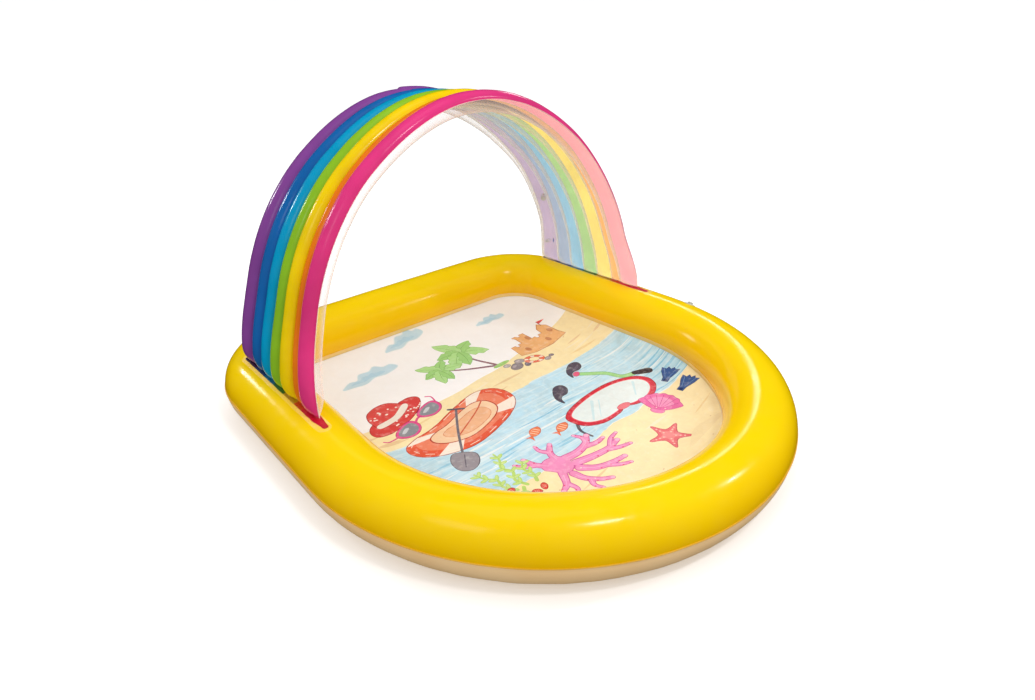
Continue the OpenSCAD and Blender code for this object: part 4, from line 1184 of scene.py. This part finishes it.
for sgn, name in ((1, "right"), (-1, "left")):
    ya, yb = 0.040, 0.494 if sgn < 0 else 0.502
    nn, mm = 190, 13
    yy = np.linspace(ya, yb, nn)
    end = np.sqrt(np.maximum(1 - np.square(np.clip(np.maximum((ya + 0.008 - yy), (yy - yb + 0.011)) / 0.009, 0, 1)), 0.02)) * (0.60 + 0.40 * step(yy, 0.045, 0.10))
    acr = np.linspace(-1, 1, mm)
    wid = (0.0122 + 0.0012 * noise1(yy, 60, 5 + sgn)) * end
    g = acr[None] * wid[:, None] + foot_out(yy)[:, None] + 0.0030
    crumple = 0.0012 * noise(np.stack(np.broadcast_arrays(yy[:, None] * 120, g * 160, np.array(sgn * 2.2)), -1)) * (1 - acr[None] ** 2 * 0.6)
    Y = np.broadcast_to(yy[:, None], g.shape)
    top_l = 0.0024 + crumple - 0.0008 * acr[None] ** 4
    verts, quads, kind = shell(on_ring(sgn, Y, g, top_l), on_ring(sgn, Y, g, top_l * 0 + 0.0013))
    row = np.array([band_at(v) for v in yy])
    idx = np.concatenate([np.repeat(row[:-1], mm - 1), np.repeat(row[:-1], mm - 1), row[:-1], row[:-1], np.full(mm - 1, row[0]), np.full(mm - 1, row[-1])])
    ob = build("foot_weld_" + name + "_skin", verts, quads, [M[b + "_dark"] for b in BANDS], idx, 60)
    settle(ob, "pool", "foot_weld_vinyl", "foot_weld_" + name)

    ya, yb = 0.029, 0.503 if sgn < 0 else 0.511
    nn, mm = 180, 15
    yy = np.linspace(ya, yb, nn)
    end = np.sqrt(np.maximum(1 - np.square(np.clip(np.maximum((ya + 0.020 - yy), (yy - yb + 0.020)) / 0.020, 0, 1)), 0.02))
    acr = np.linspace(-1, 1, mm)
    wid = (0.0180 + 0.0016 * noise1(yy, 28, 9 + sgn)) * end
    g = acr[None] * wid[:, None] + foot_out(yy)[:, None] + 0.0062
    Y = np.broadcast_to(yy[:, None], g.shape)
    lift = 0.0011 + 0.0010 * np.abs(acr[None]) ** 3 * noise(np.stack(np.broadcast_arrays(yy[:, None] * 70, g * 60, np.array(sgn * 1.2 + 7)), -1)) + 0.0001 * np.sin(yy[:, None] * 2 * math.pi / 0.0035)
    verts, quads, kind = shell(on_ring(sgn, Y, g, np.maximum(lift, 0.0006) + 0.0002), on_ring(sgn, Y, g, lift * 0 + 0.0001))
    ob = build("foot_tab_" + name + "_skin", verts, quads, [M["clear_tab"]], smooth=60)
    settle(ob, "pool", "clear_vinyl", "foot_tab_" + name)


# ------------------------------------------------------------------ valves
def frame_of(pos_, axis, y_dir):
    z = Vector(axis).normalized()
    y = Vector(y_dir).normalized()
    x = y.cross(z)
    return Matrix((x, y, z)).transposed().to_4x4(), Vector(pos_)


def lathe(profile, segs=48, knurl=None):
    """Closed outline (r, z) turned about Z; knurl(r, z, angle) may move r."""
    prof = np.array(profile)
    ang = np.arange(segs) * 2 * math.pi / segs
    v = []
    for a in ang:
        for r, z in prof:
            q = knurl(r, z, a) if knurl else r
            v.append((q * math.cos(a), q * math.sin(a), z))
    m = len(prof)
    f = []
    for i in range(segs):
        k = (i + 1) % segs
        for j in range(m):
            l = (j + 1) % m
            f.append((i * m + j, k * m + j, k * m + l, i * m + l))
    return np.array(v), np.array(f)


def placed(v, mat, at):
    return np.array([tuple(mat @ Vector(p) + at) for p in v])


for pre, pos_, axis, y_dir in (("ring", (0.620737, -0.095406, 0.165465), (0.468328, -0.032749, 0.882948), (0.069756, 0.997564, 0.0)),
                               ("arch", (0.541884, 0.487271, 0.40582), (0.769751, 0.598178, 0.222858), (-0.538986, 0.796099, -0.275174))):
    mat, at = frame_of(pos_, axis, y_dir)
    mm_ = 0.001
    # plug: hollow pin with two sealing beads, a dished cap with a finger rim
    prof = [(0.6, -5.0), (3.3, -5.0), (4.1, -4.4), (4.40, -3.2), (4.20, -2.2), (4.20, -0.6), (4.42, 0.4), (4.20, 1.4), (4.20, 4.2), (4.6, 4.8), (6.9, 4.8), (7.4, 5.1), (7.5, 5.7),
            (7.3, 6.5), (6.6, 7.3), (5.9, 7.5), (5.2, 7.2), (4.6, 6.7), (3.0, 6.4), (0.6, 6.4)]
    v1, f1 = lathe([(r * mm_, z * mm_) for r, z in prof], 56,
                   lambda r, z, a: r + (0.00012 * math.cos(28 * a) if r > 0.0068 else 0))
    # close the middle: the first and last radii are a thin core
    v1 = np.array(v1)
    v2, f2 = lathe([(0.00002, -0.0050), (0.0007, -0.0050), (0.0007, 0.0064), (0.00002, 0.0064)], 24)
    tabp = []
    xs_ = np.linspace(-0.0118, -0.0066, 7)
    for x in xs_:
        hw = 0.0025 * math.sqrt(max(0.0, 1 - max(0.0, (-x - 0.0093) / 0.0026) ** 2)) + 0.0001
        for yq in np.linspace(-1, 1, 7):
            tabp.append((x, yq * hw, 0.0061 + 0.0002 * math.cos(yq * 6)))
    tp = np.array(tabp).reshape(7, 7, 3)
    v3, f3, _ = shell(tp, tp - np.array([0, 0, 0.0012]))
    v_all = np.concatenate([v1, v2, v3])
    f_all = np.concatenate([f1 if volume(v1, f1) > 0 else f1[:, ::-1],
                            (f2 if volume(v2, f2) > 0 else f2[:, ::-1]) + len(v1),
                            (f3 if volume(v3, f3) > 0 else f3[:, ::-1]) + len(v1) + len(v2)])
    plug = build(pre + "_plug", placed(v_all, mat, at), f_all, [M["valve"]], smooth=38)
    settle(plug, pre + "_plug", "valve_vinyl", pre + "_valve_plug")
    # strap from the cap's rim to the stem's lip
    line = smooth_open([(0.0070, 0.0056), (0.0090, 0.0058), (0.0110, 0.0058), (0.0121, 0.0050), (0.0119, 0.0040), (0.0104, 0.0036), (0.0088, 0.0036)], 7)
    t_ = np.gradient(line, axis=0)
    t_ /= np.linalg.norm(t_, axis=1, keepdims=True)
    nl = np.stack([-t_[:, 1], t_[:, 0]], -1)
    yw = np.linspace(-0.00165, 0.00165, 7)
    th_ = 0.00045 * (1 - 0.35 * (np.abs(yw) / 0.00165) ** 3)
    Pg = np.stack([np.stack([line[:, 0] + nl[:, 0] * t0, np.full(len(line), y0), line[:, 1] + nl[:, 1] * t0], -1) for y0, t0 in zip(yw, th_)], 1)
    Qg = np.stack([np.stack([line[:, 0] - nl[:, 0] * t0, np.full(len(line), y0), line[:, 1] - nl[:, 1] * t0], -1) for y0, t0 in zip(yw, th_)], 1)
    v_, f_, _ = shell(Pg, Qg)
    strap = build(pre + "_strap", placed(v_, mat, at), f_, [M["valve"]], smooth=50)
    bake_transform(strap)
    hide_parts(pre + "_valve_strap")

# ------------------------------------------------------------------ CAD nodes that stay
for node, mat in (("hose_inlet", "fitting"), ("hose_nut", "nut"), ("hose_washer", "rubber"),
                  ("ring_valve_flange", "valve"), ("ring_valve_stem", "valve"), ("ring_valve_flap", "valve"),
                  ("arch_valve_flange", "valve"), ("arch_valve_stem", "valve"), ("arch_valve_flap", "valve")):
    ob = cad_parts[node]
    if not ob.material_slots:
        ob.data.materials.append(M[mat])
    for sl in ob.material_slots:
        sl.material = M[mat]

# ------------------------------------------------------------------ stage, light, camera
me = bpy.data.meshes.new("stage_floor")
me.from_pydata([(-60, -60, 0), (60, -60, 0), (60, 60, 0), (-60, 60, 0)], [], [(0, 1, 2, 3)])
stage = bpy.data.objects.new("stage_floor", me)
scene.collection.objects.link(stage)
n = Nodes("stage_floor")
n.link(n.mix(n.span(n.noise(0.7, 2.0), 0.0, 1.0), lin((252, 252, 252)), lin((250, 250, 250))), n.bsdf.inputs["Base Color"])
n.bsdf.inputs["Roughness"].default_value = 0.9
n.bsdf.inputs["Specular IOR Level"].default_value = 0.1
n.bsdf.inputs["Emission Color"].default_value = (1, 1, 1, 1)
n.bsdf.inputs["Emission Strength"].default_value = 0.2
me.materials.append(n.mat)
stage.visible_diffuse = False     # the white sweep lights the pool no more than the studio does
stage.visible_glossy = False

world = bpy.data.worlds.new("studio")
scene.world = world
world.use_nodes = True
wt = world.node_tree
bg = wt.nodes["Background"]
tc = wt.nodes.new("ShaderNodeTexCoord")
sep = wt.nodes.new("ShaderNodeSeparateXYZ")
wt.links.new(tc.outputs["Generated"], sep.inputs[0])
half = wt.nodes.new("ShaderNodeMapRange")
half.inputs["From Min"].default_value = -1.0
half.inputs["From Max"].default_value = 1.0
wt.links.new(sep.outputs["Z"], half.inputs["Value"])
ramp = wt.nodes.new("ShaderNodeValToRGB")
stops = ((0.0, 0.34), (0.44, 0.40), (0.56, 0.74), (1.0, 0.96))
while len(ramp.color_ramp.elements) < len(stops):
    ramp.color_ramp.elements.new(0.5)
for e, (at, v) in zip(ramp.color_ramp.elements, stops):
    e.position, e.color = at, (v, v, v, 1)
wt.links.new(half.outputs["Result"], ramp.inputs["Fac"])
wt.links.new(ramp.outputs["Color"], bg.inputs["Color"])
bg.inputs["Strength"].default_value = 1.0
world.cycles_visibility.glossy = False      # only the lamps below show in the gloss


def area_light(name, direction, dist, size, radiance, target=(0, 0, 0.15), spin=0.0):
    d = Vector(direction).normalized()
    li = bpy.data.lights.new(name, "AREA")
    li.shape = "RECTANGLE"
    li.size, li.size_y = size
    li.energy = radiance * math.pi * size[0] * size[1]
    ob = bpy.data.objects.new(name, li)
    ob.location = Vector(target) + d * dist
    ob.rotation_mode = "QUATERNION"
    ob.rotation_quaternion = d.to_track_quat("Z", "Y") @ Matrix.Rotation(spin, 3, "Z").to_quaternion()
    scene.collection.objects.link(ob)
    return ob


area_light("key_top", (-0.04, -0.52, 0.85), 4.0, (0.62, 0.15), 84)
area_light("key_right", (0.62, -0.52, 0.59), 4.0, (0.20, 0.26), 84)
area_light("back_left", (-0.35, 0.86, 0.36), 4.0, (0.30, 0.30), 34)
area_light("back_right", (0.74, 0.44, 0.51), 4.0, (0.7, 0.35), 9)
area_light("left_soft", (-0.8, -0.2, 0.75), 4.5, (1.4, 1.0), 2.0)
area_light("sky_soft", (0.0, 0.1, 1.0), 4.5, (2.6, 2.2), 0.5)

cam = bpy.data.cameras.new("camera")
cam.sensor_width = 36
cam.lens = 722.1 / 1035 * 36
cam.clip_start, cam.clip_end = 0.01, 300
co = bpy.data.objects.new("camera", cam)
co.location = (-1.1811, -1.2628, 1.1034)
co.rotation_euler = (math.pi / 2 - 0.4876, 0, -0.7402)
scene.collection.objects.link(co)
scene.camera = co
scene.view_settings.view_transform = "Standard"
